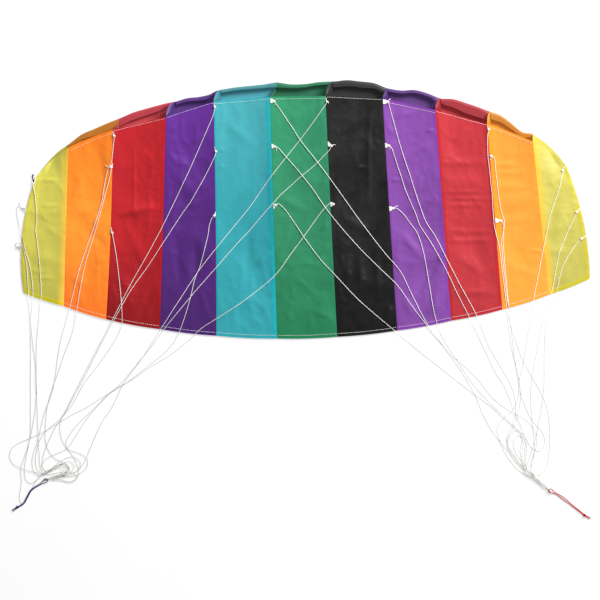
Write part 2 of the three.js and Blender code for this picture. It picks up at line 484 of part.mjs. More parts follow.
// The plan of a route: a smooth curve through its points, with a step wherever it has turned or run on enough. After
// the first points, whose number is free, the steps are the points themselves, so that gathered lines stay parallel.
const STEP_TURN = 0.5; // radians
const STEP_LENGTH = 90;
const FIRST_STEP = 20;
const FINE_STEPS = 8; // trial points for each point of the route
function planOf(points, free = points.length) {
  const corners = points.map(([x, y]) => new THREE.Vector3(x, y, 0));
  const curve = new THREE.CatmullRomCurve3(corners, false, "centripetal");
  const fine = curve.getPoints(FINE_STEPS * (corners.length - 1));
  const plan = [fine[0]];
  let turned = 0;
  for (let i = 1; i < fine.length - 1; i += 1) {
    const arriving = new THREE.Vector3().subVectors(fine[i], fine[i - 1]);
    const leaving = new THREE.Vector3().subVectors(fine[i + 1], fine[i]);
    turned += arriving.angleTo(leaving);
    const longest = plan.length === 1 ? FIRST_STEP : STEP_LENGTH;
    const due = turned > STEP_TURN || fine[i].distanceTo(plan[plan.length - 1]) > longest;
    if (i < free * FINE_STEPS ? due : i % FINE_STEPS === 0) {
      plan.push(fine[i]);
      turned = 0;
    }
  }
  plan.push(fine[fine.length - 1]);
  return plan;
}

// What has been laid so far: closely spaced points of every line with its radius, kept by squares of the plan.
const SQUARE = 6;
const SAMPLE = 1.2;
const laid = new Map();
const squareOf = (x, y) => `${Math.floor(x / SQUARE)},${Math.floor(y / SQUARE)}`;

function eachSample(places, visit) {
  for (let i = 0; i < places.length - 1; i += 1) {
    const count = Math.ceil(places[i].distanceTo(places[i + 1]) / SAMPLE);
    for (let step = 0; step <= count; step += 1) {
      const share = step / count;
      visit(new THREE.Vector3().lerpVectors(places[i], places[i + 1], share), i, share);
    }
  }
}

function remember(places, radius) {
  eachSample(places, (point) => {
    const key = squareOf(point.x, point.y);
    if (!laid.has(key)) laid.set(key, []);
    laid.get(key).push({ point, radius });
  });
}

// Lowest height at which the middle of a line may pass over a point of the plan.
function restHeight(x, y, radius) {
  let height = groundAt(x, y) + radius;
  for (const sideways of [-SQUARE, 0, SQUARE]) {
    for (const ahead of [-SQUARE, 0, SQUARE]) {
      for (const other of laid.get(squareOf(x + sideways, y + ahead)) ?? []) {
        const clear = radius + other.radius + LINE_CLEARANCE;
        const away = Math.hypot(other.point.x - x, other.point.y - y);
        if (away < clear) height = Math.max(height, other.point.z + Math.sqrt(clear ** 2 - away ** 2));
      }
    }
  }
  return height;
}

// Lay a line down: every place starts at rest, and the ends of a step are lifted, the nearer one more, until the
// step clears what it passes over. A line that is tied at its start keeps the height of that place.
const LAY_ROUNDS = 16;
function layDown(plan, radius, tiedHeight = null) {
  const places = plan.map(({ x, y }) => new THREE.Vector3(x, y, restHeight(x, y, radius)));
  if (tiedHeight !== null) places[0].z = tiedHeight;
  for (let round = 0; round < LAY_ROUNDS; round += 1) {
    const lift = places.map(() => 0);
    eachSample(places, (point, step, share) => {
      const short = restHeight(point.x, point.y, radius) - point.z;
      const whole = share ** 2 + (1 - share) ** 2;
      lift[step] = Math.max(lift[step], short * (1 - share) / whole);
      lift[step + 1] = Math.max(lift[step + 1], short * share / whole);
    });
    if (tiedHeight !== null) lift[0] = 0;
    places.forEach((place, i) => {
      place.z += lift[i];
    });
  }
  remember(places, radius);
  return places;
}

// Joining with manifold solids
function toSolid(geometry) {
  const welded = weld(geometry);
  return new wasm.Manifold(new wasm.Mesh({
    numProp: 3,
    vertProperties: new Float32Array(welded.getAttribute("position").array),
    triVerts: new Uint32Array(welded.getIndex().array),
  }));
}

function fuse(geometries) {
  const joined = geometries.map(toSolid).reduce((whole, piece) => whole.add(piece));
  const mesh = joined.getMesh();
  const geometry = new THREE.BufferGeometry();
  geometry.setAttribute("position", new THREE.BufferAttribute(mesh.vertProperties, 3));
  geometry.setIndex(new THREE.BufferAttribute(mesh.triVerts, 1));
  return geometry;
}

// A bridle tab: a folded ribbon whose base is sewn into the seam and whose tip holds the knot. These are its four
// corners in the plan.
function tabCorners(rib, base, tip) {
  const { trail, lead } = RIBS[rib];
  const seam = new THREE.Vector2(lead[0] - trail[0], lead[1] - trail[1]).normalize();
  const half = TAB_WIDTH / 2;
  const tipHalf = KNOT_RADIUS / 2;
  const turn = Math.sign((tip.y - base[1]) * seam.x - (tip.x - base[0]) * seam.y);
  return [
    [base[0] - turn * seam.x * half, base[1] - turn * seam.y * half],
    [base[0] + turn * seam.x * half, base[1] + turn * seam.y * half],
    [tip.x + turn * seam.x * tipHalf, tip.y + turn * seam.y * tipHalf],
    [tip.x - turn * seam.x * tipHalf, tip.y - turn * seam.y * tipHalf],
  ];
}

function tabGeometry(corners, seat) {
  const order = [[0, 1], [3, 2]];
  return sheetGeometry(1, 1, (column, row, side) => {
    const [x, y] = corners[order[row][column]];
    return { x, y, z: seat + side * TAB_THICKNESS };
  });
}

// The direction of a route at one of its points.
function headingAt(points, i) {
  const [x0, y0] = points[Math.max(i - 1, 0)];
  const [x1, y1] = points[Math.min(i + 1, points.length - 1)];
  return new THREE.Vector2(x1 - x0, y1 - y0).normalize();
}

// A route beside another one, at its own distance to the left at each point.
function beside(points, distanceAt) {
  return points.map(([x, y], i) => {
    const heading = headingAt(points, i);
    return [x - heading.y * distanceAt(i), y + heading.x * distanceAt(i)];
  });
}

function bridleLine({ rib, side, joins, slot, tab, route }) {
  const { lane } = SIDES[side];
  const slotRoute = beside(lane, () => slot * LANE_PITCH);
  const plan = planOf([...route, ...slotRoute.slice(joins)], route.length);
  const corners = tabCorners(rib, tab, plan[0]);
  const seat = Math.max(groundAt(...tab), ...corners.map(([x, y]) => groundAt(x, y)));
  const places = layDown(plan, LINE_DIAMETER / 2, seat + KNOT_RADIUS);
  return fuse([
    tube(places, LINE_DIAMETER),
    new THREE.IcosahedronGeometry(KNOT_RADIUS, 0).translate(...places[0]),
    tabGeometry(corners, seat),
  ]);
}

// An oval knot that lies on the floor, its length along a direction of the plan.
function ovalKnot([x, y], heading, size) {
  return new THREE.IcosahedronGeometry(1, 1)
    .scale(size.length / 2, size.width / 2, size.height / 2)
    .rotateZ(heading.angle())
    .translate(x, y, size.height / 2);
}

function gatherKnot(side) {
  const { lane, knot } = SIDES[side];
  return weld(ovalKnot(knot, headingAt([lane[lane.length - 1], knot], 1), GATHER_KNOT));
}

// A pigtail is one cord: up one leg, over the gathering knot and back down the other leg, with both legs tied
// together in a knot near their ends.
const ARCH_STEPS = 8;
function pigtail(side) {
  const { middle, spread } = SIDES[side].pigtail;
  const radius = PIGTAIL_DIAMETER / 2;
  const [leftLeg, rightLeg] = [1, -1].map((way) =>
    layDown(planOf(beside(middle, (i) => way * spread[i])), radius));
  const archTop = GATHER_KNOT.height + radius + 2 * GAP;
  const arch = Array.from({ length: ARCH_STEPS - 1 }, (_, i) => {
    const turn = Math.PI * (i + 1) / ARCH_STEPS;
    const place = new THREE.Vector3().lerpVectors(leftLeg[0], rightLeg[0], (1 - Math.cos(turn)) / 2);
    place.z += (archTop - place.z) * Math.sin(turn);
    return place;
  });
  const tail = middle.length - 2;
  return fuse([
    tube([...leftLeg.reverse(), ...arch, ...rightLeg], PIGTAIL_DIAMETER),
    ovalKnot(middle[tail], headingAt(middle, tail), TAIL_KNOT),
  ]);
}

// The kite
const kite = new THREE.Group();
const cloth = (colour) => new THREE.MeshStandardMaterial({ color: colour, roughness: 0.55, metalness: 0 });
const cord = (colour) => new THREE.MeshStandardMaterial({ color: colour, roughness: 0.8, metalness: 0 });
const LINE_COLOUR = 0xf1efea;

function addPiece(name, geometry, material) {
  const mesh = new THREE.Mesh(geometry, material);
  mesh.name = name;
  kite.add(mesh);
}

CELLS.forEach(({ name, colour }, cell) => {
  addPiece(`lower_${name}`, lowerPanel(cell), cloth(colour));
  addPiece(`upper_${name}`, upperPanel(cell), cloth(colour));
});
for (let rib = 1; rib < CELLS.length; rib += 1) {
  addPiece(`rib_${String(rib).padStart(2, "0")}`, ribWall(rib), cloth(CELLS[rib].colour));
}
for (const line of LINES) {
  const name = `bridle_${String(line.rib).padStart(2, "0")}_${line.row}`;
  addPiece(name, bridleLine(line), cord(LINE_COLOUR));
}
for (const side of Object.keys(SIDES)) {
  addPiece(`gather_knot_${side}`, gatherKnot(side), cord(LINE_COLOUR));
  addPiece(`pigtail_${side}`, pigtail(side), cord(SIDES[side].pigtail.colour));
}

export default kite;
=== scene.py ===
# %% [markdown]
# # A soft stunt kite, laid out on its back
# This lesson dresses a two-line foil kite of eleven cloth cells. Its solids come packed in metres, with the origin
# on the floor under the middle of the canopy, +X along the span and +Y towards the open nose. Each piece made here
# lies where its solid lies, so nothing is fitted by eye. The frame is loaded first.

# %% Load the imported kite
import json
import math
import bpy
import numpy as np
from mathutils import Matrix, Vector, noise

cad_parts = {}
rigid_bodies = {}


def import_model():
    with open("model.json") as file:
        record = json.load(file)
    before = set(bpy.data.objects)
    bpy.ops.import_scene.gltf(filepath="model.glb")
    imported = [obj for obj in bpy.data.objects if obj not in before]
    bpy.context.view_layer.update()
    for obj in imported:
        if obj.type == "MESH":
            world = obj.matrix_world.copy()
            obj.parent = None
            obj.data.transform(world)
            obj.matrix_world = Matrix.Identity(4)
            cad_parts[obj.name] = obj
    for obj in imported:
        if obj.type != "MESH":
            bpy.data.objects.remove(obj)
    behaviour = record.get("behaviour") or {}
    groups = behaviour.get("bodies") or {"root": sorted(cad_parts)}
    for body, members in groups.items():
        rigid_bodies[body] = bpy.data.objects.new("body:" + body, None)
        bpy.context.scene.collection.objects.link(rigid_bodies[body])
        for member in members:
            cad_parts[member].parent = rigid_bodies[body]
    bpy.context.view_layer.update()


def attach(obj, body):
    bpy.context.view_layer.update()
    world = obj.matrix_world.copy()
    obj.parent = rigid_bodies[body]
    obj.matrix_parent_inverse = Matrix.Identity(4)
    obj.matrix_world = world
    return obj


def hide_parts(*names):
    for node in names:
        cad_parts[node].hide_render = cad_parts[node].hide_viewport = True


for leftover in list(bpy.data.objects):
    bpy.data.objects.remove(leftover)
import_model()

# %% [markdown]
# ## The camera
# The kite was photographed from straight above. A short lens would push the raised nose outwards, so the camera
# stands high with a long lens and the plan keeps its true shape. The colours are shown plainly, with the Standard
# view.

# %% Camera
VIEW_WIDTH = 1.3734
VIEW_MIDDLE = (-0.0103, -0.2072)
CAMERA_HEIGHT = 20.0
SENSOR_WIDTH = 36.0
scene = bpy.context.scene
scene.view_settings.view_transform = "Standard"
camera_data = bpy.data.cameras.new("camera")
camera_data.sensor_width = SENSOR_WIDTH
camera_data.lens = SENSOR_WIDTH * CAMERA_HEIGHT / VIEW_WIDTH
camera_data.clip_end = 5 * CAMERA_HEIGHT
camera = bpy.data.objects.new("camera", camera_data)
camera.location = (*VIEW_MIDDLE, CAMERA_HEIGHT)
scene.collection.objects.link(camera)
scene.camera = camera
print("lens in mm:", round(camera_data.lens))

# %% [markdown]
# ## The cut of the kite
# A sail maker draws a foil from its seams. There are twelve, from the left tip to the right tip. Each has an end
# at the trailing edge, an end at the lower skin's leading hem and an end at the upper skin's nose. These tables
# repeat the part's own sizes, so that the finer cloth made here has the same plan. A share runs across a cell from
# its left seam, and along it from the trailing edge.

# %% Seams and cells
MM = 0.001


def metres(sizes):
    return np.array(sizes, float) * MM


TRAIL = metres([(-643, -191), (-551, -221), (-454, -251.5), (-331, -274), (-202, -289), (-62.5, -295.5),
                (75, -291.5), (212.5, -277), (336, -254.5), (453, -229), (559.5, -195), (653, -158)])
LEAD = metres([(-615.5, 73), (-539.5, 141), (-438, 182), (-317, 211), (-207.5, 246), (-78.5, 257), (48, 259),
               (178.3, 253), (299, 227), (417.3, 195), (522, 155), (599, 100)])
NOSE = metres([(-615.5, 73), (-539, 150), (-425, 208), (-294, 247), (-191, 274), (-65, 291), (65, 293), (191, 277),
               (312, 254), (425, 224), (522, 173), (599, 100)])
MOUTH = metres([0, 17, 31, 38, 42, 44, 44, 42, 38, 32, 21, 0])
LIP = metres([4, 6, 11, 13, 14, 14, 14, 14, 13, 12, 7, 4])
BULGE = metres([-17, 0, 3, 0.8, 1.5, 0, -0.8, -0.8, 0, 0, 0, 13])

CELLS = [
    {"name": "yellow_left", "cloth": "yellow", "bow": 7, "nose": (5, 8, 6), "sag": 2, "lip": (5, 5, 5),
     "hem": 11, "folds": ((9, 0.4), (3, 0.0))},
    {"name": "orange_left", "cloth": "orange", "bow": 2, "nose": (7, 5, 3), "sag": 4, "lip": (5, 16, 20),
     "hem": 8, "folds": ((3, 0.2), (4, 0.2))},
    {"name": "red_left", "cloth": "red", "bow": 0, "nose": (4, 4, 3), "sag": 5, "lip": (18, 16, 10),
     "hem": 3, "folds": ((3, 0.2), (6, 0.4))},
    {"name": "purple_left", "cloth": "purple", "bow": 1, "nose": (1, -3, -4), "sag": 5, "lip": (9, 9, 12),
     "hem": 2.5, "folds": ((3, 0.2), (3, 0.2))},
    {"name": "cyan", "cloth": "cyan", "bow": 0, "nose": (1, 0, -1), "sag": 6, "lip": (8, 8, 11),
     "hem": 5.5, "folds": ((4, 0.5), (10, 0.7))},
    {"name": "green", "cloth": "green", "bow": 0, "nose": (-5, -5, -1), "sag": 6, "lip": (12, 8, 8),
     "hem": 5.5, "folds": ((3, 0.2), (4, 0.2))},
    {"name": "black", "cloth": "black", "bow": 0, "nose": (7, 8, 8), "sag": 5, "lip": (13, 14, 10),
     "hem": 2.5, "folds": ((2, 0.0), (2, 0.0))},
    {"name": "purple_right", "cloth": "purple", "bow": 0, "nose": (1, 8, 6), "sag": 6, "lip": (8, 8, 9),
     "hem": 6.5, "folds": ((4, 0.2), (6, 0.3))},
    {"name": "red_right", "cloth": "red", "bow": 0, "nose": (6, 5, 3), "sag": 5, "lip": (11, 24, 18),
     "hem": 3, "folds": ((7, 0.4), (6, 0.5))},
    {"name": "orange_right", "cloth": "orange", "bow": 2, "nose": (4, -1, -8), "sag": 4, "lip": (17, 15, 8),
     "hem": 6.5, "folds": ((10, 0.5), (4, 0.2))},
    {"name": "yellow_right", "cloth": "yellow", "bow": 8, "nose": (5, 8, 7), "sag": 2, "lip": (5, 5, 5),
     "hem": 9, "folds": ((3, 0.0), (10, 0.55))},
]
LAST_CELL = len(CELLS) - 1
BOW = metres([cell["bow"] for cell in CELLS])
SAG = metres([cell["sag"] for cell in CELLS])
LEAD_HEM = metres([cell["hem"] for cell in CELLS])
SEAM_FOLDS = np.array([cell["folds"] for cell in CELLS])
TRAIL_BOW = 2 * MM
print("seams:", len(TRAIL), "cells:", len(CELLS))

# %% [markdown]
# ## Where a share of a cell lies
# Every later step needs to turn shares into a place in the plan, so these helpers come once, for whole arrays at a
# time. Arrays keep the script quick, because a panel has thousands of corners.

# %% Plan of the skins


def mix(first, second, share):
    return first + (second - first) * share


def hump(share):
    return 4 * share * (1 - share)


def ease(value, low, high):
    share = np.clip((value - low) / (high - low), 0, 1)
    return share * share * (3 - 2 * share)


def between_seams(sizes, cell, across):
    return mix(sizes[cell], sizes[cell + 1], across)


def back_y(cell, across):
    return between_seams(TRAIL[:, 1], cell, across) - TRAIL_BOW * hump(across)


def front_y(cell, across):
    return between_seams(LEAD[:, 1], cell, across) + BOW[cell] * hump(across)


def lower_plan(cell, across, along):
    bulge = between_seams(BULGE, cell, across) * hump(along)
    x = mix(between_seams(TRAIL[:, 0], cell, across), between_seams(LEAD[:, 0], cell, across), along) + bulge
    return x, mix(back_y(cell, across), front_y(cell, across), along)


def seam_x(seam, along):
    return mix(TRAIL[seam, 0], LEAD[seam, 0], along) + BULGE[seam] * hump(along)


def cell_width(cell, along):
    return seam_x(cell + 1, along) - seam_x(cell, along)


CYAN_CELL = 4
print("middle of the cyan panel:", np.round(lower_plan(CYAN_CELL, 0.5, 0.5), 4))

# %% [markdown]
# ## The fall of the lower skin
# The lower skin is up. It stands on its ribs at the open nose, comes down to the trailing edge, and hangs a little
# between the ribs. A cloth simulation would give folds of its own, but the folds should be the ones that this kite
# has, so they are listed one by one. The broad folds repeat the part's own table: cell, place across and along, turn
# from the chord in degrees, then length, width and height.

# %% Broad folds
FOLDS = [
    (0, 0.55, 0.62, 80, 80, 15, 2.5), (0, 0.50, 0.30, 95, 70, 16, 2.5), (1, 0.55, 0.55, -65, 110, 20, 3.0),
    (1, 0.40, 0.20, 15, 120, 18, -2.5), (2, 0.45, 0.58, -75, 120, 22, 3.5), (2, 0.62, 0.25, 30, 130, 22, -3.0),
    (3, 0.35, 0.70, -28, 170, 22, 3.5), (3, 0.68, 0.40, -35, 150, 22, 3.0), (4, 0.40, 0.75, 25, 160, 24, 3.5),
    (4, 0.60, 0.30, -20, 150, 24, -3.0), (5, 0.55, 0.68, -40, 140, 22, 3.5), (5, 0.45, 0.28, 55, 130, 22, 3.0),
    (6, 0.45, 0.72, 18, 170, 22, 3.0), (6, 0.60, 0.22, 60, 130, 22, 3.0), (7, 0.60, 0.32, 50, 130, 20, 4.0),
    (7, 0.40, 0.70, -15, 160, 22, 3.0), (8, 0.45, 0.66, 78, 110, 20, 3.0), (8, 0.55, 0.35, -25, 150, 22, -3.0),
    (9, 0.50, 0.60, 65, 100, 18, 3.0), (9, 0.45, 0.25, -20, 120, 18, -2.5), (10, 0.45, 0.50, 12, 140, 15, 3.0),
]
SKIN_TOP = 2.3 * MM
RISE_POWER = 1.5
TIP_CLOSES_ALONG = (0.78, 1.0)
TIP_CLOSES_ACROSS = (0.05, 0.7)
SAG_BEGINS = (0.05, 0.5)
FOLD_FROM_SEAM = 10 * MM
FOLD_FROM_TRAIL = 0.1


def fold_height(x, y):
    height = np.zeros_like(x)
    for cell, across, along, turn, length, width, rise in FOLDS:
        middle = lower_plan(cell, across, along)
        turn = math.radians(turn)
        over = (x - middle[0]) * math.cos(turn) - (y - middle[1]) * math.sin(turn)
        down = (x - middle[0]) * math.sin(turn) + (y - middle[1]) * math.cos(turn)
        reach = np.clip(1 - (down / (length / 2 * MM)) ** 2, 0, 1)
        height += rise * MM * np.exp(-((over / (width * MM)) ** 2)) * reach ** 2
    return height


def plain_top(cell, across, along):
    x, y = lower_plan(cell, across, along)
    from_seam = cell_width(cell, along) * np.minimum(across, 1 - across)
    stand = between_seams(MOUTH, cell, across) * np.clip(along, 0, 1) ** RISE_POWER
    from_rib = np.where(cell == 0, 1 - across, np.where(cell == LAST_CELL, across, 0.0))
    closing = 1 - ease(along, *TIP_CLOSES_ALONG) * ease(from_rib, *TIP_CLOSES_ACROSS)
    sag = SAG[cell] * hump(across) * ease(along, *SAG_BEGINS)
    fold = fold_height(x, y) * ease(from_seam, 0, FOLD_FROM_SEAM) * ease(along, 0, FOLD_FROM_TRAIL)
    return SKIN_TOP + np.maximum(0, stand * closing - sag + fold)


print("broad folds:", len(FOLDS))

# %% [markdown]
# ## Sharp creases
# Taffeta is thin and stiff, so it also keeps sharper creases: pulls from the tabs, marks from packing, and puckers
# where a seam has drawn in. Each row gives the cell, the two ends in the plan in millimetres, the width of the
# crease and its height. A hollow has a height below zero. A crease keeps a share of its height at its two ends.

# %% Creases
CREASES = [
    (0, -606, 66, -562, 68, 5, 1.3), (0, -605, 8, -557, 9, 5, 1.3), (0, -624, -141, -596, -141, 5, 1.1),
    (0, -608, -157, -571, -157, 5, 1.1), (0, -590, -40, -562, -60, 8, 1.0), (0, -612, 30, -585, 46, 7, -0.9),
    (1, -525, -13, -450, 15, 8, 1.6), (1, -473, -122, -452, -109, 5, 1.2), (1, -514, 120, -516, 10, 15, 1.4),
    (1, -540, -150, -490, -175, 9, 1.2), (1, -500, -50, -465, -78, 8, -1.2), (1, -475, 150, -460, 60, 10, -1.0),
    (2, -431, -13, -338, 8, 9, 2.2), (2, -390, 136, -390, -13, 4, 0.9), (2, -420, 90, -350, 120, 11, 1.2),
    (2, -395, -60, -360, -140, 12, 1.6), (2, -430, -150, -395, -190, 9, 1.2), (2, -350, -180, -372, -240, 9, -1.3),
    (3, -303, 180, -280, 196, 5, 1.2), (3, -257, 152, -221, 175, 6, 1.6), (3, -269, 33, -221, 68, 7, 1.8),
    (3, -267, 3, -237, 22, 5, 1.4), (3, -292, -70, -286, -160, 10, -1.6), (3, -252, -66, -246, -160, 10, -1.6),
    (3, -305, 120, -262, 96, 9, 1.2), (3, -240, -180, -222, -240, 8, 1.1), (3, -310, -20, -285, 30, 9, 1.1),
    (4, -109, -127, -74, -95, 6, 1.6), (4, -97, -237, -72, -207, 6, 1.5), (4, -198, 136, -184, 137, 4, 1.1),
    (4, -200, 97, -184, 98, 4, 1.1), (4, -180, 200, -120, 150, 12, 1.3), (4, -150, 20, -100, 60, 10, 1.2),
    (4, -185, -90, -140, -60, 9, 1.1), (4, -175, -230, -120, -200, 11, 1.2), (4, -130, -40, -128, -150, 10, -1.2),
    (5, -19, 100, 40, 134, 11, 2.0), (5, 40, 56, 56, 72, 5, 1.2), (5, 35, -47, 58, -29, 5, 1.3),
    (5, 31, -104, 61, -77, 6, 1.5), (5, -10, -207, 58, -173, 16, -2.0), (5, -50, 190, 10, 225, 12, 1.5),
    (5, -55, 30, -10, 0, 9, 1.2), (5, -50, -130, 0, -90, 10, 1.3), (5, 20, -230, 62, -250, 8, 1.3),
    (6, 148, 235, 146, 10, 6, 1.5), (6, 122, 95, 146, 96, 4, 1.3), (6, 182, -246, 203, -221, 5, 1.3),
    (6, 100, -110, 97, -190, 8, 1.1), (6, 130, -112, 128, -186, 8, 1.1), (6, 166, -110, 169, -186, 8, 1.1),
    (6, 80, 170, 120, 205, 9, 1.3), (6, 90, -20, 150, -50, 11, 1.4), (6, 100, 30, 140, 62, 8, 1.1),
    (7, 278, 180, 301, 180, 4, 1.2), (7, 193, 67, 221, 68, 4, 1.2), (7, 306, -113, 262, -182, 10, -2.6),
    (7, 312, -190, 284, -248, 12, 2.2), (7, 230, 120, 285, 150, 10, 1.3), (7, 240, 0, 300, 30, 9, 1.3),
    (7, 225, -60, 262, -100, 9, 1.3), (7, 225, -200, 255, -245, 10, 1.3), (7, 215, 215, 260, 225, 8, 1.1),
    (8, 310, 106, 402, 107, 8, 1.5), (8, 320, 40, 402, 40, 5, 1.1), (8, 330, 26, 420, 24, 5, 1.1),
    (8, 316, 9, 405, 10, 6, 1.2), (8, 330, -49, 424, -51, 6, 1.2), (8, 330, -72, 428, -70, 6, 1.3),
    (8, 344, -191, 432, -190, 8, 1.4), (8, 333, 165, 345, 130, 14, -1.4), (8, 420, -140, 424, -180, 14, -1.4),
    (8, 350, -110, 405, -140, 10, 1.2), (9, 438, 102, 486, 102, 7, 1.3), (9, 440, 82, 500, 84, 7, 1.1),
    (9, 446, 52, 506, 52, 8, 1.2), (9, 520, -95, 548, -95, 4, 1.2), (9, 452, -30, 512, -18, 10, 1.2),
    (9, 470, -130, 530, -150, 11, 1.3), (10, 560, -50, 592, -36, 11, 1.6), (10, 562, -95, 598, -94, 9, 1.5),
    (10, 575, -165, 606, -158, 10, 1.4), (10, 537, 110, 560, -165, 13, 1.6), (10, 560, 60, 590, 75, 8, 1.1),
]
CREASE_END = 0.35


def crease_height(cell, x, y):
    height = np.zeros_like(x)
    for own_cell, x0, y0, x1, y1, width, rise in CREASES:
        start = np.array((x0, y0)) * MM
        run = np.array((x1, y1)) * MM - start
        share = ((x - start[0]) * run[0] + (y - start[1]) * run[1]) / (run @ run)
        held = np.clip(share, 0, 1)
        away = np.hypot(x - start[0] - held * run[0], y - start[1] - held * run[1])
        taper = mix(CREASE_END, 1, hump(held))
        height += np.where(cell == own_cell, rise * MM * taper * np.exp(-((away / (width * MM)) ** 2)), 0)
    return height


print("creases:", len(CREASES))

# %% [markdown]
# ## Crumple and pleats
# Between the creases the cloth is softly crumpled, which noise gives well, because no single wrinkle matters
# there. Ridged noise looks like taffeta, with sharp crests and broad hollows, and some patches are calmer than
# others. Near both hems long pleats run along the chord. Every layer of noise has its own wave size, and its own
# level in the noise, so that no two layers are alike.

# %% Crumple and pleats
BEND_WAVE = 110 * MM
BEND_REACH = 14 * MM
SOFT_WAVE = 85 * MM
SOFT_RISE = 1.4 * MM
RIDGE_WAVE = 50 * MM
RIDGE_RISES = metres((0.6, 1.7))
RIDGE_STRETCH = (1.25, 0.85)
RIDGE_NARROWING = 2.4
WRINKLE_WAVE = 23 * MM
WRINKLE_RISES = metres((0.3, 0.8))
WRINKLE_NARROWING = 2.6
RIDGE_POWER = 1.4
PATCH_WAVE = 140 * MM
PATCH_RANGE = (-0.35, 0.4)
PLEAT_RISE = 0.7 * MM
FINE_PLEAT = 16 * MM
FINE_STRETCH = 0.16
FINE_LEAN = 0.05
BROAD_PLEAT = 33 * MM
BROAD_STRETCH = 0.2
BROAD_SHARE = 0.6
TRAIL_SHARE = 0.8
LEAD_PLEATS = (30 * MM, 150 * MM)
TRAIL_PLEATS = (40 * MM, 170 * MM)


def noise_at(x, y, size, layer):
    points = np.column_stack((np.ravel(x) / size, np.ravel(y) / size))
    values = [noise.noise(Vector((px, py, layer))) for px, py in points.tolist()]
    return np.array(values).reshape(np.shape(x))


def ridges(waves, narrowing):
    return np.clip(1 - narrowing * np.abs(waves), 0, 1) ** RIDGE_POWER


def crumple(x, y):
    bent_x = x + BEND_REACH * noise_at(x, y, BEND_WAVE, 3.7)
    bent_y = y + BEND_REACH * noise_at(x, y, BEND_WAVE, 8.1)
    patch = ease(noise_at(x, y, PATCH_WAVE, 6.4), *PATCH_RANGE)
    soft = noise_at(x, y, SOFT_WAVE, 1.3)
    stretched = (bent_x * RIDGE_STRETCH[0], bent_y * RIDGE_STRETCH[1])
    ridged = ridges(noise_at(*stretched, RIDGE_WAVE, 5.9), RIDGE_NARROWING)
    wrinkled = ridges(noise_at(bent_x, bent_y, WRINKLE_WAVE, 2.2), WRINKLE_NARROWING)
    return SOFT_RISE * soft + mix(*RIDGE_RISES, patch) * ridged + mix(*WRINKLE_RISES, patch) * wrinkled


def drape(x, y, back, front):
    fine = noise_at(x + FINE_LEAN * y, y * FINE_STRETCH, FINE_PLEAT, 11.3)
    broad = noise_at(x, y * BROAD_STRETCH, BROAD_PLEAT, 12.8)
    near_hems = 1 - ease(front, *LEAD_PLEATS) + TRAIL_SHARE * (1 - ease(back, *TRAIL_PLEATS))
    return PLEAT_RISE * (fine + BROAD_SHARE * broad) * near_hems


print("crumple at the middle of the kite in mm:", round(crumple(np.zeros(1), np.zeros(1))[0] / MM, 2))

# %% [markdown]
# ## Doubled cloth
# The hems are folded over, and at some seams the allowance lies under the panel, so the cloth is doubled there. It
# stands a little proud, and later it also looks deeper in colour. Both need the distance to the four sides of the
# panel. The closed tips have no hem at the nose.

# %% Hems and seam allowances
TRAIL_HEM = 8.5 * MM
HEM_BEYOND_STITCH = 1 * MM
FOLD_EDGE = 0.6 * MM
TRAIL_DEPTH = np.array((0.85, *[0.35] * 9, 0.85))
LEAD_DEPTH = np.array((0, *[0.35] * 9, 0))


def edge_distances(cell, across, along):
    width = cell_width(cell, along)
    chord = front_y(cell, across) - back_y(cell, across)
    return across * width, (1 - across) * width, along * chord, (1 - along) * chord


def fold_band(away, width):
    return 1 - ease(away, width - FOLD_EDGE, width + FOLD_EDGE)


def doubled_cloth(cell, across, along):
    left, right, back, front = edge_distances(cell, across, along)
    folds = SEAM_FOLDS[cell]
    seams = np.maximum(fold_band(left, folds[..., 0, 0] * MM) * folds[..., 0, 1],
                       fold_band(right, folds[..., 1, 0] * MM) * folds[..., 1, 1])
    hems = np.maximum(TRAIL_DEPTH[cell] * fold_band(back, TRAIL_HEM),
                      LEAD_DEPTH[cell] * fold_band(front, LEAD_HEM[cell] + HEM_BEYOND_STITCH))
    return np.maximum(seams, hems)


hem_depth = doubled_cloth(np.array([CYAN_CELL]), np.array([0.5]), np.zeros(1))[0]
print("depth of the cyan panel's trailing hem:", hem_depth)

# %% [markdown]
# ## The lower skin's face
# Seams and hems hold the cloth, so creases and crumple fade towards them. Beside a seam the noise is stretched
# across it, for the small puckers that sewing leaves, and the thread draws the cloth in along a narrow groove. All
# layers add up to one height, and the lines are later laid on the same face. Some panels lie calmer than others.

# %% Top of the lower skin
CALM = np.array((0.5, 0.6, 0.7, 0.85, 0.65, 0.7, 1.1, 0.9, 0.6, 0.55, 0.5))
CREASE_GAIN = 2.0
HELD_BY_SEAM = 16 * MM
HELD_BY_TRAIL = 40 * MM
HELD_BY_LEAD = 30 * MM
FREE_AT_LEAD = 0.45
CREASE_FROM_SEAM = 7 * MM
PLEAT_FROM_SEAM = 12 * MM
PLEAT_FROM_TRAIL = 30 * MM
SEAM_PUCKER = 0.8 * MM
PUCKER_WAVE = 11 * MM
PUCKER_STRETCH = 0.25
PUCKER_REACH = 9 * MM
PUCKER_FROM_SEAM = 2.5 * MM
HEM_PUCKER = 0.3 * MM
HEM_PUCKER_WAVE = 13 * MM
HEM_PUCKER_STRETCH = 0.3
HEM_PUCKER_REACH = 12 * MM
SEAM_GROOVE = 0.5 * MM
GROOVE_WIDTH = 2.2 * MM
HEM_FOLD = 0.5 * MM
LOWEST_TOP = 1.6 * MM


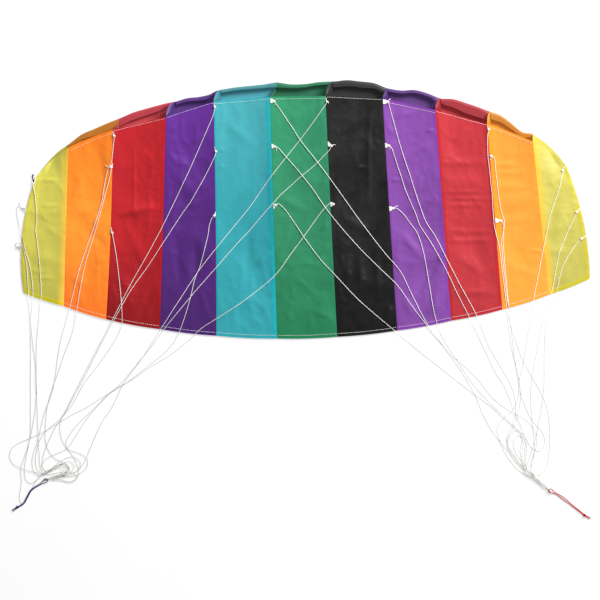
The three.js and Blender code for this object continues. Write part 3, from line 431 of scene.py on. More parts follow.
def skin_top(cell, across, along):
    x, y = lower_plan(cell, across, along)
    left, right, back, front = edge_distances(cell, across, along)
    side = np.minimum(left, right)
    near = np.minimum(back, front)
    free = ease(side, 0, HELD_BY_SEAM) * ease(back, 0, HELD_BY_TRAIL)
    free = free * mix(FREE_AT_LEAD, 1, ease(front, 0, HELD_BY_LEAD))
    creases = CREASE_GAIN * crease_height(cell, x, y) * ease(side, 0, CREASE_FROM_SEAM)
    detail = (creases + crumple(x, y)) * free * CALM[cell]
    detail += drape(x, y, back, front) * ease(side, 0, PLEAT_FROM_SEAM) * ease(back, 0, PLEAT_FROM_TRAIL)
    pucker = SEAM_PUCKER * noise_at(x * PUCKER_STRETCH, y, PUCKER_WAVE, 4.4)
    detail += pucker * np.exp(-side / PUCKER_REACH) * ease(side, 0, PUCKER_FROM_SEAM)
    hem_pucker = HEM_PUCKER * noise_at(x, y * HEM_PUCKER_STRETCH, HEM_PUCKER_WAVE, 7.7)
    detail += hem_pucker * np.exp(-near / HEM_PUCKER_REACH)
    detail -= SEAM_GROOVE * np.exp(-((side / GROOVE_WIDTH) ** 2))
    detail += HEM_FOLD * doubled_cloth(cell, across, along)
    return np.maximum(plain_top(cell, across, along) + detail, LOWEST_TOP)


probe = skin_top(np.full(5, CYAN_CELL), np.linspace(0.1, 0.9, 5), np.full(5, 0.5))
print("cyan panel, heights across its middle in mm:", np.round(probe / MM, 1))

# %% [markdown]
# ## Paths for the bridle lines
# A bridle line is laid by hand: it leaves its tab, runs over the cloth and the floor, and comes into the loose
# bundle of its side. The route's points repeat the part's table. A centripetal spline goes through them without
# loops of its own, and then the route is cut into even steps.

# %% Smooth routes
SPLINE_STEPS = 24


def distances_along(path):
    return np.concatenate(([0], np.cumsum(np.linalg.norm(np.diff(path, axis=0), axis=1))))


def places_at(path, marks, wanted):
    return np.column_stack([np.interp(wanted, marks, values) for values in path.T])


def smooth_route(points, step):
    points = np.asarray(points, float)
    padded = np.vstack((2 * points[0] - points[1], points, 2 * points[-1] - points[-2]))
    share = np.linspace(0, 1, SPLINE_STEPS, endpoint=False)[:, None]
    fine = []
    for p0, p1, p2, p3 in zip(padded, padded[1:], padded[2:], padded[3:]):
        d0, d1, d2 = (math.sqrt(np.linalg.norm(b - a)) for a, b in ((p0, p1), (p1, p2), (p2, p3)))
        leave = ((p1 - p0) / d0 - (p2 - p0) / (d0 + d1) + (p2 - p1) / d1) * d1
        arrive = ((p2 - p1) / d1 - (p3 - p1) / (d1 + d2) + (p3 - p2) / d2) * d1
        bend = 2 * p1 - 2 * p2 + leave + arrive
        lift = -3 * p1 + 3 * p2 - 2 * leave - arrive
        fine.append(p1 + share * (leave + share * (lift + share * bend)))
    fine = np.vstack((*fine, points[-1:]))
    gone = distances_along(fine)
    steps = max(int(round(gone[-1] / step)), 2)
    return places_at(fine, gone, np.linspace(0, gone[-1], steps + 1))


def headings(points):
    runs = np.gradient(np.asarray(points, float), axis=0)
    return runs / np.linalg.norm(runs, axis=1)[:, None]


def beside(points, distances):
    heading = headings(points)
    left = np.column_stack((-heading[:, 1], heading[:, 0]))
    return np.asarray(points, float) + left * np.asarray(distances)[:, None]


print("a quarter turn in steps:", len(smooth_route([(0, 0), (30, 10), (40, 40)], 4)))

# %% [markdown]
# ## What lies under a line
# A line may lie on the cloth or on the floor beside it. To tell which, a place in the plan is turned back into
# shares of a cell. The seams are curved, so the share along the cell is first guessed and then bettered in a few
# rounds.

# %% Height of the ground
SEARCH_ROUNDS = 6
EDGE_MARGIN = 3 * MM
CLOTH_CLEARANCE = 0.25 * MM


def find_shares(x, y):
    along = np.full_like(x, 0.5)
    for _ in range(SEARCH_ROUNDS):
        inside = np.clip(along, 0, 1)
        seams = np.array([seam_x(seam, inside) for seam in range(len(TRAIL))])
        cell = np.clip((x > seams[1:-1]).sum(axis=0), 0, LAST_CELL)
        across = (x - seam_x(cell, inside)) / cell_width(cell, inside)
        held = np.clip(across, 0, 1)
        along = (y - back_y(cell, held)) / (front_y(cell, held) - back_y(cell, held))
    return cell, across, along


def ground_at(x, y):
    cell, across, along = find_shares(x, y)
    held_across = np.clip(across, 0, 1)
    held_along = np.clip(along, 0, 1)
    near_x, near_y = lower_plan(cell, held_across, held_along)
    top = skin_top(cell, held_across, held_along) + CLOTH_CLEARANCE
    return np.where(np.hypot(x - near_x, y - near_y) < EDGE_MARGIN, top, 0)


print("floor height beside the kite:", ground_at(np.array([0.0]), np.array([-0.6]))[0])

# %% [markdown]
# ## Laying a line down
# A limp line rests on whatever is under it: the cloth, the floor or the lines laid before. First every point gets
# the lowest height it may have. Then the line is relaxed, which lifts it into a low hump on both sides of a
# crossing, as a real line does, and never lets it sink into what it crosses.

# %% Resting heights
LINE_CLEARANCE = 0.15 * MM
STEEPEST_STEP = 0.5 * MM
RELAXING_ROUNDS = 60
KEPT_POINTS = 3
laid_lines = []


def over_lines(x, y, radius):
    height = np.zeros_like(x)
    for places, other in laid_lines:
        clear = radius + other + LINE_CLEARANCE
        low, high = places[:, :2].min(axis=0) - clear, places[:, :2].max(axis=0) + clear
        inside = np.flatnonzero((x > low[0]) & (x < high[0]) & (y > low[1]) & (y < high[1]))
        if len(inside) == 0:
            continue
        away = np.hypot(x[inside, None] - places[None, :, 0], y[inside, None] - places[None, :, 1])
        over = places[None, :, 2] + np.sqrt(np.clip(clear ** 2 - away ** 2, 0, None))
        height[inside] = np.maximum(height[inside], np.where(away < clear, over, 0).max(axis=1))
    return height


def lay_down(plan, radius, tied_height=None):
    x, y = plan[:, 0], plan[:, 1]
    rest = np.maximum(ground_at(x, y) + radius, over_lines(x, y, radius))
    held = np.pad(rest, 1, "edge")
    rest = np.maximum(rest, np.maximum(held[:-2], held[2:]) - STEEPEST_STEP)
    if tied_height is not None:
        rest[0] = tied_height
    z = rest.copy()
    for _ in range(RELAXING_ROUNDS):
        z[1:-1] = np.maximum(rest[1:-1], (z[:-2] + 2 * z[1:-1] + z[2:]) / 4)
    places = np.column_stack((x, y, z))
    count = len(places)
    closer = places_at(places, np.arange(count), np.linspace(0, count - 1, KEPT_POINTS * count))
    laid_lines.append((closer, radius))
    return places


print("lines laid so far:", len(laid_lines))

# %% [markdown]
# ## Small steps for the finishes
# Every finish is one Principled shader with a few nodes in front of it: noise for variation, a range to scale it,
# a mix for colours and a bump for relief. These steps come back in each finish, so each has a small helper. Colours
# are written as on a screen and turned into linear light. Numbers that are the same all over are set on the
# shader's own sockets.

# %% Node helpers
MIX_SOCKETS = (0, 6, 7)
MIX_RESULT = 2


def linear(hex_colour):
    channels = [int(hex_colour[i:i + 2], 16) / 255 for i in (1, 3, 5)]
    return [c / 12.92 if c <= 0.04045 else ((c + 0.055) / 1.055) ** 2.4 for c in channels]


def set_inputs(node, values):
    for socket, value in values.items():
        node.inputs[socket].default_value = value


def new_finish(name, values):
    finish = bpy.data.materials.new(name)
    finish.use_nodes = True
    shader = finish.node_tree.nodes["Principled BSDF"]
    set_inputs(shader, values)
    return finish, finish.node_tree, shader


def add_node(tree, kind, values=None, **settings):
    node = tree.nodes.new(kind)
    for key, value in settings.items():
        setattr(node, key, value)
    set_inputs(node, values or {})
    return node


def object_place(tree):
    return add_node(tree, "ShaderNodeTexCoord").outputs["Object"]


def mixed_colour(tree, blend, factor, first, second):
    node = add_node(tree, "ShaderNodeMix", data_type="RGBA", blend_type=blend)
    for place, value in zip(MIX_SOCKETS, (factor, first, second)):
        socket = node.inputs[place]
        if isinstance(value, bpy.types.NodeSocket):
            tree.links.new(value, socket)
        elif isinstance(value, float):
            socket.default_value = value
        else:
            socket.default_value = (*value, 1)
    return node.outputs[MIX_RESULT]


def noise_node(tree, scale, detail=2.0, roughness=0.5):
    node = add_node(tree, "ShaderNodeTexNoise", {"Scale": scale, "Detail": detail, "Roughness": roughness})
    tree.links.new(object_place(tree), node.inputs["Vector"])
    return node.outputs["Fac"]


def spread(tree, value, low, high):
    node = add_node(tree, "ShaderNodeMapRange", {"To Min": low, "To Max": high})
    tree.links.new(value, node.inputs["Value"])
    return node.outputs["Result"]


def bumped(tree, height, strength, distance, under=None):
    node = add_node(tree, "ShaderNodeBump", {"Strength": strength, "Distance": distance})
    tree.links.new(height, node.inputs["Height"])
    if under is not None:
        tree.links.new(under, node.inputs["Normal"])
    return node.outputs["Normal"]


print("white in linear light:", linear("#ffffff"))

# %% [markdown]
# ## White braided line and coloured cord
# The bridle is thin braided line, a little off white. Where it lies on the floor beside the kite, below the trailing
# edge and left of the left tip, its colour is painted greyer: painted shade, deeper on the left side. A fine noise
# in its colour and its bump stands for the braid, which is too small to see from above. The same finish, with other
# colours and grains, serves for the pigtails, the ribbon, the thread and the binding. A row gives the colour, its
# shade between the strands, the grain, the roughness and the painted shade of the lengths on the floor.

# %% Finishes of the cords
CORD_LOOKS = {
    "bridle_line_left": ("#f8f7f4", "#e6e4e0", 1400.0, 0.6, "#c8c8c6"),
    "bridle_line_right": ("#f8f7f4", "#e6e4e0", 1400.0, 0.6, "#d8d8d6"),
    "ribbon": ("#ecebe4", "#dddbd3", 900.0, 0.65, "#cfcfcb"),
    "navy_cord": ("#14267c", "#0a1450", 1100.0, 0.55),
    "red_cord": ("#c41526", "#8a0a18", 1100.0, 0.55),
    "marker_thread": ("#262628", "#141416", 1100.0, 0.6),
    "white_thread": ("#f6f4ef", "#d9d6cf", 2000.0, 0.6),
    "tip_binding": ("#cdbfc4", "#a8989f", 700.0, 0.6),
}
# Painted shade: lines and ribbon turn greyer past y -0.21 m and left of the left tip, mostly where they lie on the
# floor.
PAINTED_SHADE_RANGES = {"Y": (-0.21, -0.31), "X": (-0.636, -0.644)}
STRAND_CONTRAST = (-0.6, 1.6)
STRAND_BUMP = (0.5, 0.4 * MM)


def painted_shade_share(tree):
    axes = add_node(tree, "ShaderNodeSeparateXYZ")
    tree.links.new(object_place(tree), axes.inputs["Vector"])
    either = add_node(tree, "ShaderNodeMath", operation="MAXIMUM")
    for socket, (axis, (clean, grey)) in zip(either.inputs, PAINTED_SHADE_RANGES.items()):
        share = add_node(tree, "ShaderNodeMapRange", {"From Min": clean, "From Max": grey})
        tree.links.new(axes.outputs[axis], share.inputs["Value"])
        tree.links.new(share.outputs["Result"], socket)
    return either.outputs["Value"]


def braided_cord(name, colour, shaded, grain, rough, painted_shade=None):
    finish, tree, shader = new_finish(name, {"Roughness": rough, "Specular IOR Level": 0.3})
    strands = noise_node(tree, grain, 3.0)
    yarn = mixed_colour(tree, "MIX", spread(tree, strands, *STRAND_CONTRAST), linear(shaded), linear(colour))
    if painted_shade is not None:
        yarn = mixed_colour(tree, "MULTIPLY", painted_shade_share(tree), yarn, linear(painted_shade))
    tree.links.new(yarn, shader.inputs["Base Color"])
    tree.links.new(bumped(tree, strands, *STRAND_BUMP), shader.inputs["Normal"])
    return finish


cord_finishes = {name: braided_cord(name, *looks) for name, looks in CORD_LOOKS.items()}
print("cord finishes:", list(cord_finishes))

# %% [markdown]
# ## Small tube meshes
# Knots are short bent tubes. A curve with a bevel could make them too, but several tubes in one knot are easier to
# keep as one mesh. The helper carries a ring of corners along a path and turns it no more than the path turns. It
# starts from any direction that the path doesn't take.

# %% Tubes
START_SIDE = (0.31, 0.17, 0.93)


def sweep(path, radius, sides=8, closed=False):
    path = np.asarray(path, float)
    radii = np.broadcast_to(radius, len(path))
    ahead = np.roll(path, -1, axis=0) - np.roll(path, 1, axis=0) if closed else np.gradient(path, axis=0)
    ahead = ahead / np.linalg.norm(ahead, axis=1)[:, None]
    side = np.cross(ahead[0], START_SIDE)
    corners = []
    turn = np.linspace(0, 2 * math.pi, sides, endpoint=False)
    for place, direction, size in zip(path, ahead, radii):
        side = side - direction * (side @ direction)
        side = side / np.linalg.norm(side)
        up = np.cross(direction, side)
        corners.append(place + size * (np.cos(turn)[:, None] * side + np.sin(turn)[:, None] * up))
    faces = []
    rings = len(path)
    for ring in range(rings if closed else rings - 1):
        first, second = ring * sides, (ring + 1) % rings * sides
        for i in range(sides):
            j = (i + 1) % sides
            faces.append((first + i, first + j, second + j, second + i))
    if not closed:
        faces.append(tuple(range(sides))[::-1])
        faces.append(tuple(range((rings - 1) * sides, rings * sides)))
    return np.vstack(corners), faces


print("corners of a short tube:", len(sweep([(0, 0, 0), (0, 0, 1), (0, 1, 2)], 0.1)[0]))

# %% [markdown]
# ## Pieces of the kite
# A knot is a mesh of several tubes, and a line or a pigtail leg is a curve with a round bevel, so its length can be
# measured and its thickness changed later. Every piece rides on the kite's only body.

# %% Pieces
BEVEL_STEPS = 2


def add_piece(name, data, finish):
    data.materials.append(finish)
    piece = bpy.data.objects.new(name, data)
    scene.collection.objects.link(piece)
    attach(piece, "root")
    return piece


def smooth_mesh(name, corners, faces):
    mesh = bpy.data.meshes.new(name)
    mesh.from_pydata(corners.tolist(), [], faces)
    mesh.polygons.foreach_set("use_smooth", [True] * len(mesh.polygons))
    return mesh


def add_mesh(name, parts, finish):
    corners, faces, start = [], [], 0
    for part_corners, part_faces in parts:
        corners.append(part_corners)
        faces.extend([tuple(i + start for i in face) for face in part_faces])
        start += len(part_corners)
    return add_piece(name, smooth_mesh(name, np.vstack(corners), faces), finish)


def add_cord(name, places, diameter, finish):
    curve = bpy.data.curves.new(name, "CURVE")
    curve.dimensions = "3D"
    curve.bevel_depth = diameter / 2
    curve.bevel_resolution = BEVEL_STEPS
    curve.use_fill_caps = True
    spline = curve.splines.new("POLY")
    spline.points.add(len(places) - 1)
    spline.points.foreach_set("co", np.column_stack((places, np.ones(len(places)))).ravel())
    spline.use_smooth = True
    return add_piece(name, curve, finish)


# %% [markdown]
# ## The bridle's routes
# Each side has a lane: the way that its gathered lines take, side by side, through a loose coil to their knot. The
# lines could all be drawn by hand to their very ends, but they would then cross each other in the bundle by
# chance. So each has its own place across the lane, and it wanders a little there, as slack line does.

# %% Lanes
LANES = {
    "left": [(-592, -602), (-577, -593), (-562, -584), (-550, -582), (-541, -589), (-541, -599), (-549, -606),
             (-560, -610), (-580, -615.3)],
    "right": [(488, -503), (474, -512), (466, -526), (467, -542), (476, -557), (490, -577), (507, -597), (527, -615),
              (552, -635.8)],
}
LANE_PITCH = 2.0
LANE_WANDER = 1.0
WANDER_TURN = 1.9
WANDER_SHIFT = 2.6


def lane_beside(side, place):
    lane = LANES[side]
    loose = LANE_WANDER * np.sin(WANDER_TURN * np.arange(len(lane)) + WANDER_SHIFT * place)
    loose[-2:] = 0
    return beside(lane, place * LANE_PITCH + loose).tolist()


print("points in each lane:", {side: len(lane) for side, lane in LANES.items()})

# %% [markdown]
# ## Lines of the left side
# Twelve lines go to the left knot. A line gives its seam and row, the side it goes to, the point of the lane where
# it comes in, its place across the lane counted from the middle, the sewn edge of its tab, and its route over the
# cloth and the floor. They are listed in the order in which they lie on each other.

# %% Left lines
LEFT_LINES = [
    (2, "b", "left", 3, 1.5, (-438.5, 100.5),
     [(-442.5, 97), (-442.3, 90), (-444.5, 78.5), (-449.7, 56.5), (-457, 32), (-460.3, 17), (-463, 7), (-481, -56),
      (-502, -125), (-514, -185), (-523, -239), (-530, -278), (-549, -330), (-569, -388), (-587, -445),
      (-593, -502), (-592, -535), (-582, -558), (-565, -574)]),
    (0, "c", "left", 0, 0.5, (-648, -89),
     [(-657.5, -87), (-661, -81), (-657, -76), (-650, -79), (-644.5, -88), (-640, -107), (-636.5, -126),
      (-634, -160), (-631, -207), (-629, -239), (-627, -306), (-627, -399), (-627, -450), (-629, -528),
      (-640, -564), (-649, -592), (-648, -625), (-652, -662), (-648, -673), (-640, -668), (-631, -651),
      (-621, -633), (-609, -614)]),
    (0, "b", "left", 0, -0.5, (-637, -2),
     [(-646.5, 2), (-652, 7.5), (-657, 5), (-658.5, -5), (-657, -18), (-653.5, -35), (-649, -50), (-645, -65),
      (-642, -82), (-638, -98), (-633, -113), (-627.5, -135), (-622, -184), (-623, -220), (-626, -250),
      (-622, -306), (-615, -365), (-615, -445), (-622, -496), (-633, -548), (-641, -598), (-637, -620),
      (-625, -627), (-611, -618)]),
    (2, "a", "left", 1, -1.5, (-438, 174),
     [(-434.8, 168), (-435.5, 157), (-437.3, 143), (-439, 124.5), (-441.5, 109), (-446, 101), (-450.5, 88),
      (-453.5, 76), (-456.3, 63), (-461, 35), (-463.2, 20), (-466, 9), (-484, -45), (-514, -132), (-529, -190),
      (-541, -239), (-560, -310), (-576, -413), (-597, -473), (-610, -528), (-623, -571), (-619, -600),
      (-606, -609), (-592, -603)]),
    (4, "a", "left", 8, 1.5, (-207.6, 240),
     [(-204.6, 234), (-206, 226), (-209, 214.5), (-215.6, 198), (-228, 170), (-241.2, 139.8), (-261.2, 94.2),
      (-274, 67), (-322, -33), (-360, -104), (-399, -173), (-441, -255), (-466, -303), (-491, -351), (-523, -413),
      (-558, -478), (-587, -503), (-604, -525), (-614, -558), (-615, -583), (-608, -600), (-594, -606),
      (-580, -606), (-566, -603), (-552, -601), (-538, -602), (-527, -604), (-522, -610), (-525, -618),
      (-536, -622), (-549, -621), (-562, -617)]),
    (0, "a", "left", 1, 0.5, (-614.5, 71),
     [(-620, 60), (-620.5, 52), (-618, 39), (-615.5, 22), (-614, 2), (-613, -15), (-614, -32), (-615.5, -47),
      (-613, -65), (-610.5, -87), (-606.5, -126), (-603, -191), (-606, -230), (-613, -306), (-614, -365),
      (-612, -447), (-610, -512), (-607, -560), (-604, -590), (-592, -605)]),
    (2, "c", "left", 8, 2.5, (-443.2, -43),
     [(-440, -53), (-436, -75), (-431, -104), (-424, -161), (-419, -216), (-418, -262), (-425, -284), (-442, -313),
      (-475, -360), (-505, -399), (-530, -445), (-555, -478), (-560, -496), (-556, -525), (-546, -544),
      (-533, -560), (-523, -578), (-517, -600), (-522, -618), (-538, -626), (-555, -622)]),
    (4, "c", "left", 8, -1.5, (-203.2, -9),
     [(-206.5, -14.5), (-212, -20.5), (-217.2, -34.6), (-220.5, -56.5), (-224, -72), (-239, -129), (-251, -159),
      (-262, -205), (-283, -271), (-296, -299), (-322, -330), (-354, -355), (-418, -404), (-459, -428),
      (-500, -454), (-537, -473), (-591, -506), (-631, -525), (-656, -536), (-671, -549), (-675, -566),
      (-667, -582), (-647, -593), (-619, -601), (-600, -605), (-585, -602), (-571, -594.5), (-560, -590),
      (-553.5, -593), (-553, -600.5), (-559, -607)]),
    (4, "b", "left", 7, -0.5, (-205.4, 139),
     [(-202.2, 132.5), (-204.2, 124), (-208, 115.5), (-217, 96), (-228.3, 74.3), (-244, 46.3), (-261.6, 15.7),
      (-274, -1), (-324, -77), (-360, -132), (-399, -187), (-436, -253), (-461, -300), (-486, -349), (-518, -411),
      (-553, -474), (-569, -497), (-587, -534), (-599, -570), (-600, -590), (-591, -601), (-580, -597),
      (-566, -590), (-552, -580.5), (-541, -576.5), (-531, -580), (-527, -587.5), (-530.5, -597), (-540, -604.5)]),
    (6, "a", "left", 7, 0.5, (48.5, 251.5),
     [(52, 245.5), (46, 236.5), (34.3, 219.5), (11.9, 188.5), (-10.5, 158.5), (-33, 130.5), (-79, 72), (-125, 6),
      (-155, -31), (-195, -80), (-239, -136), (-285, -205), (-326, -269), (-353, -312), (-378, -350), (-414, -399),
      (-440, -452), (-465, -490), (-489, -544), (-505, -580), (-518, -597), (-538, -605)]),
    (6, "b", "left", 7, -0.5, (53, 150),
     [(62, 145), (57.5, 136.5), (43.5, 122), (30, 107.5), (12, 91.5), (-6, 77), (-35, 51), (-55, 33), (-71, 15),
      (-98, -15), (-125, -47), (-155, -79), (-205, -136), (-255, -193), (-290, -235), (-320, -272), (-350, -314),
      (-376, -345), (-420, -398), (-453, -429), (-495, -475), (-524, -519), (-543, -547), (-569, -560),
      (-592, -572), (-600, -587), (-592, -599), (-582, -596), (-572, -587), (-560, -577), (-545, -569),
      (-531, -566), (-519, -571), (-512.5, -581), (-514, -591), (-521, -599), (-535, -605)]),
    (6, "c", "left", 7, 1.5, (59.3, 11.5),
     [(66.5, 12), (58.5, 13.5), (51.5, 8), (41.5, -2), (25.5, -23.5), (1, -58), (-35, -107), (-67, -150),
      (-136, -207), (-190, -243), (-237, -273), (-264, -299), (-310, -335), (-354, -361), (-395, -390),
      (-440, -415), (-480, -454), (-516, -489), (-533, -509), (-546, -534), (-541, -549), (-525, -555),
      (-507, -562), (-496, -574), (-500, -592), (-515, -605), (-536, -611)]),
]
print("lines of the left side:", len(LEFT_LINES))

# %% [markdown]
# ## Lines of the right side
# The right side's twelve lines have the same kind of rows. They are laid after the left ones, so they pass over
# them where the two sides cross on the middle panels.

# %% Right lines
RIGHT_LINES = [
    (7, "a", "right", 2, -1.5, (179, 245.5),
     [(190.5, 245.3), (192.8, 239.5), (197, 224.5), (205, 195.3), (214.2, 161.5), (225.7, 123.4), (239.6, 83),
      (251, 47), (264.7, 6.5), (278.6, -29.5), (299, -61), (328, -118), (360, -180), (393, -241), (422, -312),
      (448, -358), (476, -410), (484, -451), (482, -474), (472, -502)]),
    (9, "a", "right", 2, -0.5, (418, 188),
     [(421.2, 182.5), (418.5, 168), (418.6, 137), (419.7, 118), (421.8, 100.5), (424.4, 78.5), (426.3, 57),
      (429.3, 32), (430.3, 10), (432, -14), (433.6, -34), (438, -55), (445, -83), (450.8, -126.5), (456.3, -170.5),
      (461, -209), (467, -264), (476, -326), (492, -390), (495, -431), (489, -470), (477, -502)]),
    (11, "a", "right", 0, 0.5, (595, 99),
     [(591, 89), (582, 45), (564, -8), (546, -93), (536, -145), (525, -203), (518, -250), (509, -303), (500, -358),
      (492, -399), (497, -425), (518, -477), (546, -513), (550, -535), (538, -553), (519, -544), (505, -519)]),
    (9, "c", "right", 6, 1.5, (436, -25.5),
     [(448, -26), (453.5, -31), (455, -50), (455.2, -83), (458.2, -126.5), (464, -188), (466.5, -212), (472, -264),
      (487, -310), (500, -345), (521, -383), (546, -429), (557, -463), (562, -528), (556, -580), (545, -603),
      (530, -609), (516, -600), (500, -580), (486, -560), (478, -541), (482, -524), (495, -518), (505, -528),
      (505, -550), (503, -575)]),
    (5, "a", "right", 5, -1.5, (-78.2, 248),
     [(-69, 246.5), (-59.3, 233), (-46, 213.3), (-28, 186.7), (-10, 159), (29, 109), (60, 68), (93, 22), (122, -19),
      (184, -100), (219, -141), (244, -191), (278, -257), (310, -303), (351, -358), (389, -421), (406, -463),
      (429, -506), (452, -536), (469, -557)]),
    (11, "c", "right", 6, 1.5, (644.5, -60),
     [(634, -67), (622, -80), (612, -93), (592, -129), (584, -155), (578, -184), (570, -210), (560, -235),
      (553, -264), (550, -303), (549, -350), (549, -399), (545, -438), (535, -496), (525, -538), (515, -568)]),
    (9, "b", "right", 7, -1.5, (424, 118.5),
     [(427.3, 121.3), (432, 119.8), (435, 113), (435.8, 103), (437.5, 86), (440.7, 60), (443.2, 38), (446.5, 16),
      (451, -8), (456.5, -24), (457.5, -36), (454, -53), (450.8, -72), (452.8, -105), (458, -155), (463.5, -200),
      (471, -241), (479, -322), (489, -390), (489, -431), (473, -463), (448, -486), (441, -505), (447, -528),
      (461, -560), (482, -588), (504, -607)]),
    (11, "b", "right", 7, 1.5, (631.5, 3),
     [(623, -6), (615, -25), (605, -45), (583, -100), (575, -140), (569, -173), (560, -207), (550, -236),
      (543, -270), (535, -310), (521, -387), (518, -431), (522, -490), (527, -544), (524, -575), (517, -595)]),
    (7, "b", "right", 6, 0.5, (184, 146),
     [(193.3, 145.5), (199, 140.5), (204.2, 126), (212.2, 101.2), (221.5, 74), (230.7, 45), (242.2, 18),
      (255.9, -13.7), (262.8, -34), (287, -72), (322, -134), (349, -191), (377, -246), (406, -307), (438, -374),
      (458, -406), (477, -451), (490, -483), (503, -515), (509, -540), (507, -568)]),
    (7, "c", "right", 6, -0.5, (193.6, 1.5),
     [(203.3, 2.3), (209.7, 3), (217.6, -2.4), (229, -13.7), (240.3, -29.6), (258, -54), (271, -93), (280, -138),
      (287, -180), (299, -246), (315, -290), (345, -338), (388, -402), (422, -440), (458, -474), (487, -502),
      (498, -527), (494, -552)]),
    (5, "b", "right", 7, 0.5, (-75.3, 144.5),
     [(-67.5, 143.5), (-59.3, 139.6), (-50.4, 129.5), (-41.4, 119.4), (-25.7, 101.4), (-10, 83.5), (20, 45),
      (38, 18), (64, -17), (122, -84), (177, -139), (212, -173), (246, -221), (276, -260), (329, -323), (390, -381),
      (438, -438), (472, -461), (502, -478), (521, -494), (532, -515), (530, -545), (520, -578)]),
    (5, "c", "right", 6, -0.5, (-71.3, 5),
     [(-66, 10), (-59.7, 12.5), (-53, 8), (-41.6, -4.4), (-28, -23.6), (-10, -49.7), (-3, -61), (38, -116),
      (70, -150), (122, -205), (165, -243), (207, -278), (260, -322), (310, -361), (358, -399), (422, -447),
      (461, -481), (489, -505), (502, -530), (498, -558)]),
]
print("lines of the right side:", len(RIGHT_LINES))

# %% [markdown]
# ## Tabs
# A tab is a short folded ribbon that is sewn into the seam and drawn together by the line's knot. A plain strip
# would do from far away, but this ribbon narrows and pleats towards its knot. So it is a grid of corners that rests
# on the cloth, and the same grid below it, joined round the rim into a thin closed sheet. The tabs at the right tip
# are rolled up and show only their edge.

# %% Tabs
RIBBON = 0.8 * MM
TAB_ROWS = 12
TAB_COLUMNS = 16
TAB_HALF_WIDTH = 5.4
TIP_TAB_HALF_WIDTHS = {0: 4.5, 11: 0.9}
TAB_HALF_END = 1.2
TAB_TAPER = 2.2
TAB_PLEAT = 0.5 * MM
TAB_PLEAT_TURN = 2.5 * math.pi
SEWN_LIFT = 0.1 * MM


def closed_sheet(top, under):
    first = np.arange(top.shape[0] * top.shape[1]).reshape(top.shape[:2])
    count = first.size
    quads = np.stack((first[:-1, :-1], first[:-1, 1:], first[1:, 1:], first[1:, :-1]), axis=-1).reshape(-1, 4)
    rim = np.concatenate((first[0, :-1], first[:-1, -1], first[-1, :0:-1], first[:0:-1, 0]))
    after = np.roll(rim, -1)
    walls = np.column_stack((rim, rim + count, after + count, after))
    corners = np.vstack((top.reshape(-1, 3), under.reshape(-1, 3)))
    return corners, np.vstack((quads, quads[:, ::-1] + count, walls)).tolist()


def tab_ribbon(seam, base, knot):
    run = knot[:2] - base
    along_seam = LEAD[seam] - TRAIL[seam]
    along_seam = along_seam / np.linalg.norm(along_seam)
    share = np.linspace(0, 1, TAB_ROWS + 1)[:, None]
    across = np.linspace(-1, 1, TAB_COLUMNS + 1)[None, :]
    half = mix(TIP_TAB_HALF_WIDTHS.get(seam, TAB_HALF_WIDTH), TAB_HALF_END, share ** TAB_TAPER) * MM
    flat = base + share[..., None] * run + (half * across)[..., None] * along_seam
    base_height = ground_at(base[:1], base[1:])[0]
    slope = mix(base_height + SEWN_LIFT, knot[2] - RIBBON / 2, share)
    pleat = TAB_PLEAT * share * np.cos(TAB_PLEAT_TURN * across)
    rest = ground_at(flat[..., 0].ravel(), flat[..., 1].ravel()).reshape(flat.shape[:2]) + RIBBON / 2
    top = np.maximum(slope + pleat, rest) + RIBBON / 2
    return closed_sheet(np.dstack((flat, top)), np.dstack((flat, top - RIBBON)))


print("corners of a tab:", 2 * (TAB_ROWS + 1) * (TAB_COLUMNS + 1))

# %% [markdown]
# ## Knots at the tabs
# Each line is tied to its tab with an overhand knot. Its path is a closed curve that winds twice round its middle.
# The tails are the cut ends that stick out of some of the knots. They bend a little and come down on the cloth.

# %% Tab knots
KNOT_SIZE = metres((2.3, 2.0, 1.3))
KNOT_STRAND = 0.75 * MM
TAIL_RADIUS = 0.6 * MM
TAIL_POINTS = 7
TAIL_BEND = 0.18
TAIL_FALL = 1.2
TAIL_CLEARANCE = 0.7 * MM
SHORT_TAIL = (1.5, -3.5)
TAILS = {(2, "b"): (-13, 4), (5, "a"): (1, -9), (5, "b"): (3, -10), (6, "a"): (3, -4), (6, "b"): (9, 2),
         (7, "a"): (7, 7), (7, "b"): (1, -9), (7, "c"): (11, 5), (9, "c"): (6, 1), (0, "a"): (3, 15),
         (0, "b"): (-5, 15), (0, "c"): (-3, 9)}


def overhand(size, turns=48):
    t = np.linspace(0, 2 * math.pi, turns, endpoint=False)
    ring = 2 + np.cos(3 * t)
    return np.column_stack((ring * np.cos(2 * t), ring * np.sin(2 * t), 2 * np.sin(3 * t))) / 3 * size


def cut_end(knot, reach):
    share = np.linspace(0, 1, TAIL_POINTS)
    bend = TAIL_BEND * np.array((-reach[1], reach[0]))
    plan = knot[:2] + np.outer(share, reach) + np.outer(hump(share), bend)
    rest = ground_at(plan[:, 0], plan[:, 1]) + TAIL_CLEARANCE
    return np.column_stack((plan, np.maximum(rest, knot[2] * (1 - TAIL_FALL * share))))


def tab_knot_parts(seam, row, knot):
    tail = cut_end(knot, metres(TAILS.get((seam, row), SHORT_TAIL)))
    return [sweep(overhand(KNOT_SIZE) + knot, KNOT_STRAND, closed=True), sweep(tail, TAIL_RADIUS, sides=7)]


print("knots with a longer tail:", len(TAILS))

# %% [markdown]
# ## Lines, tabs and knots together
# Now every line is laid, in the tables' order, with its tab and its knot.

# %% Lay the bridle
LINE_DIAMETER = 1.2 * MM
LINE_STEP = 2.5
KNOT_HEIGHT = 2.0 * MM
floor_heights = []


def path_length(places):
    return float(distances_along(places)[-1])


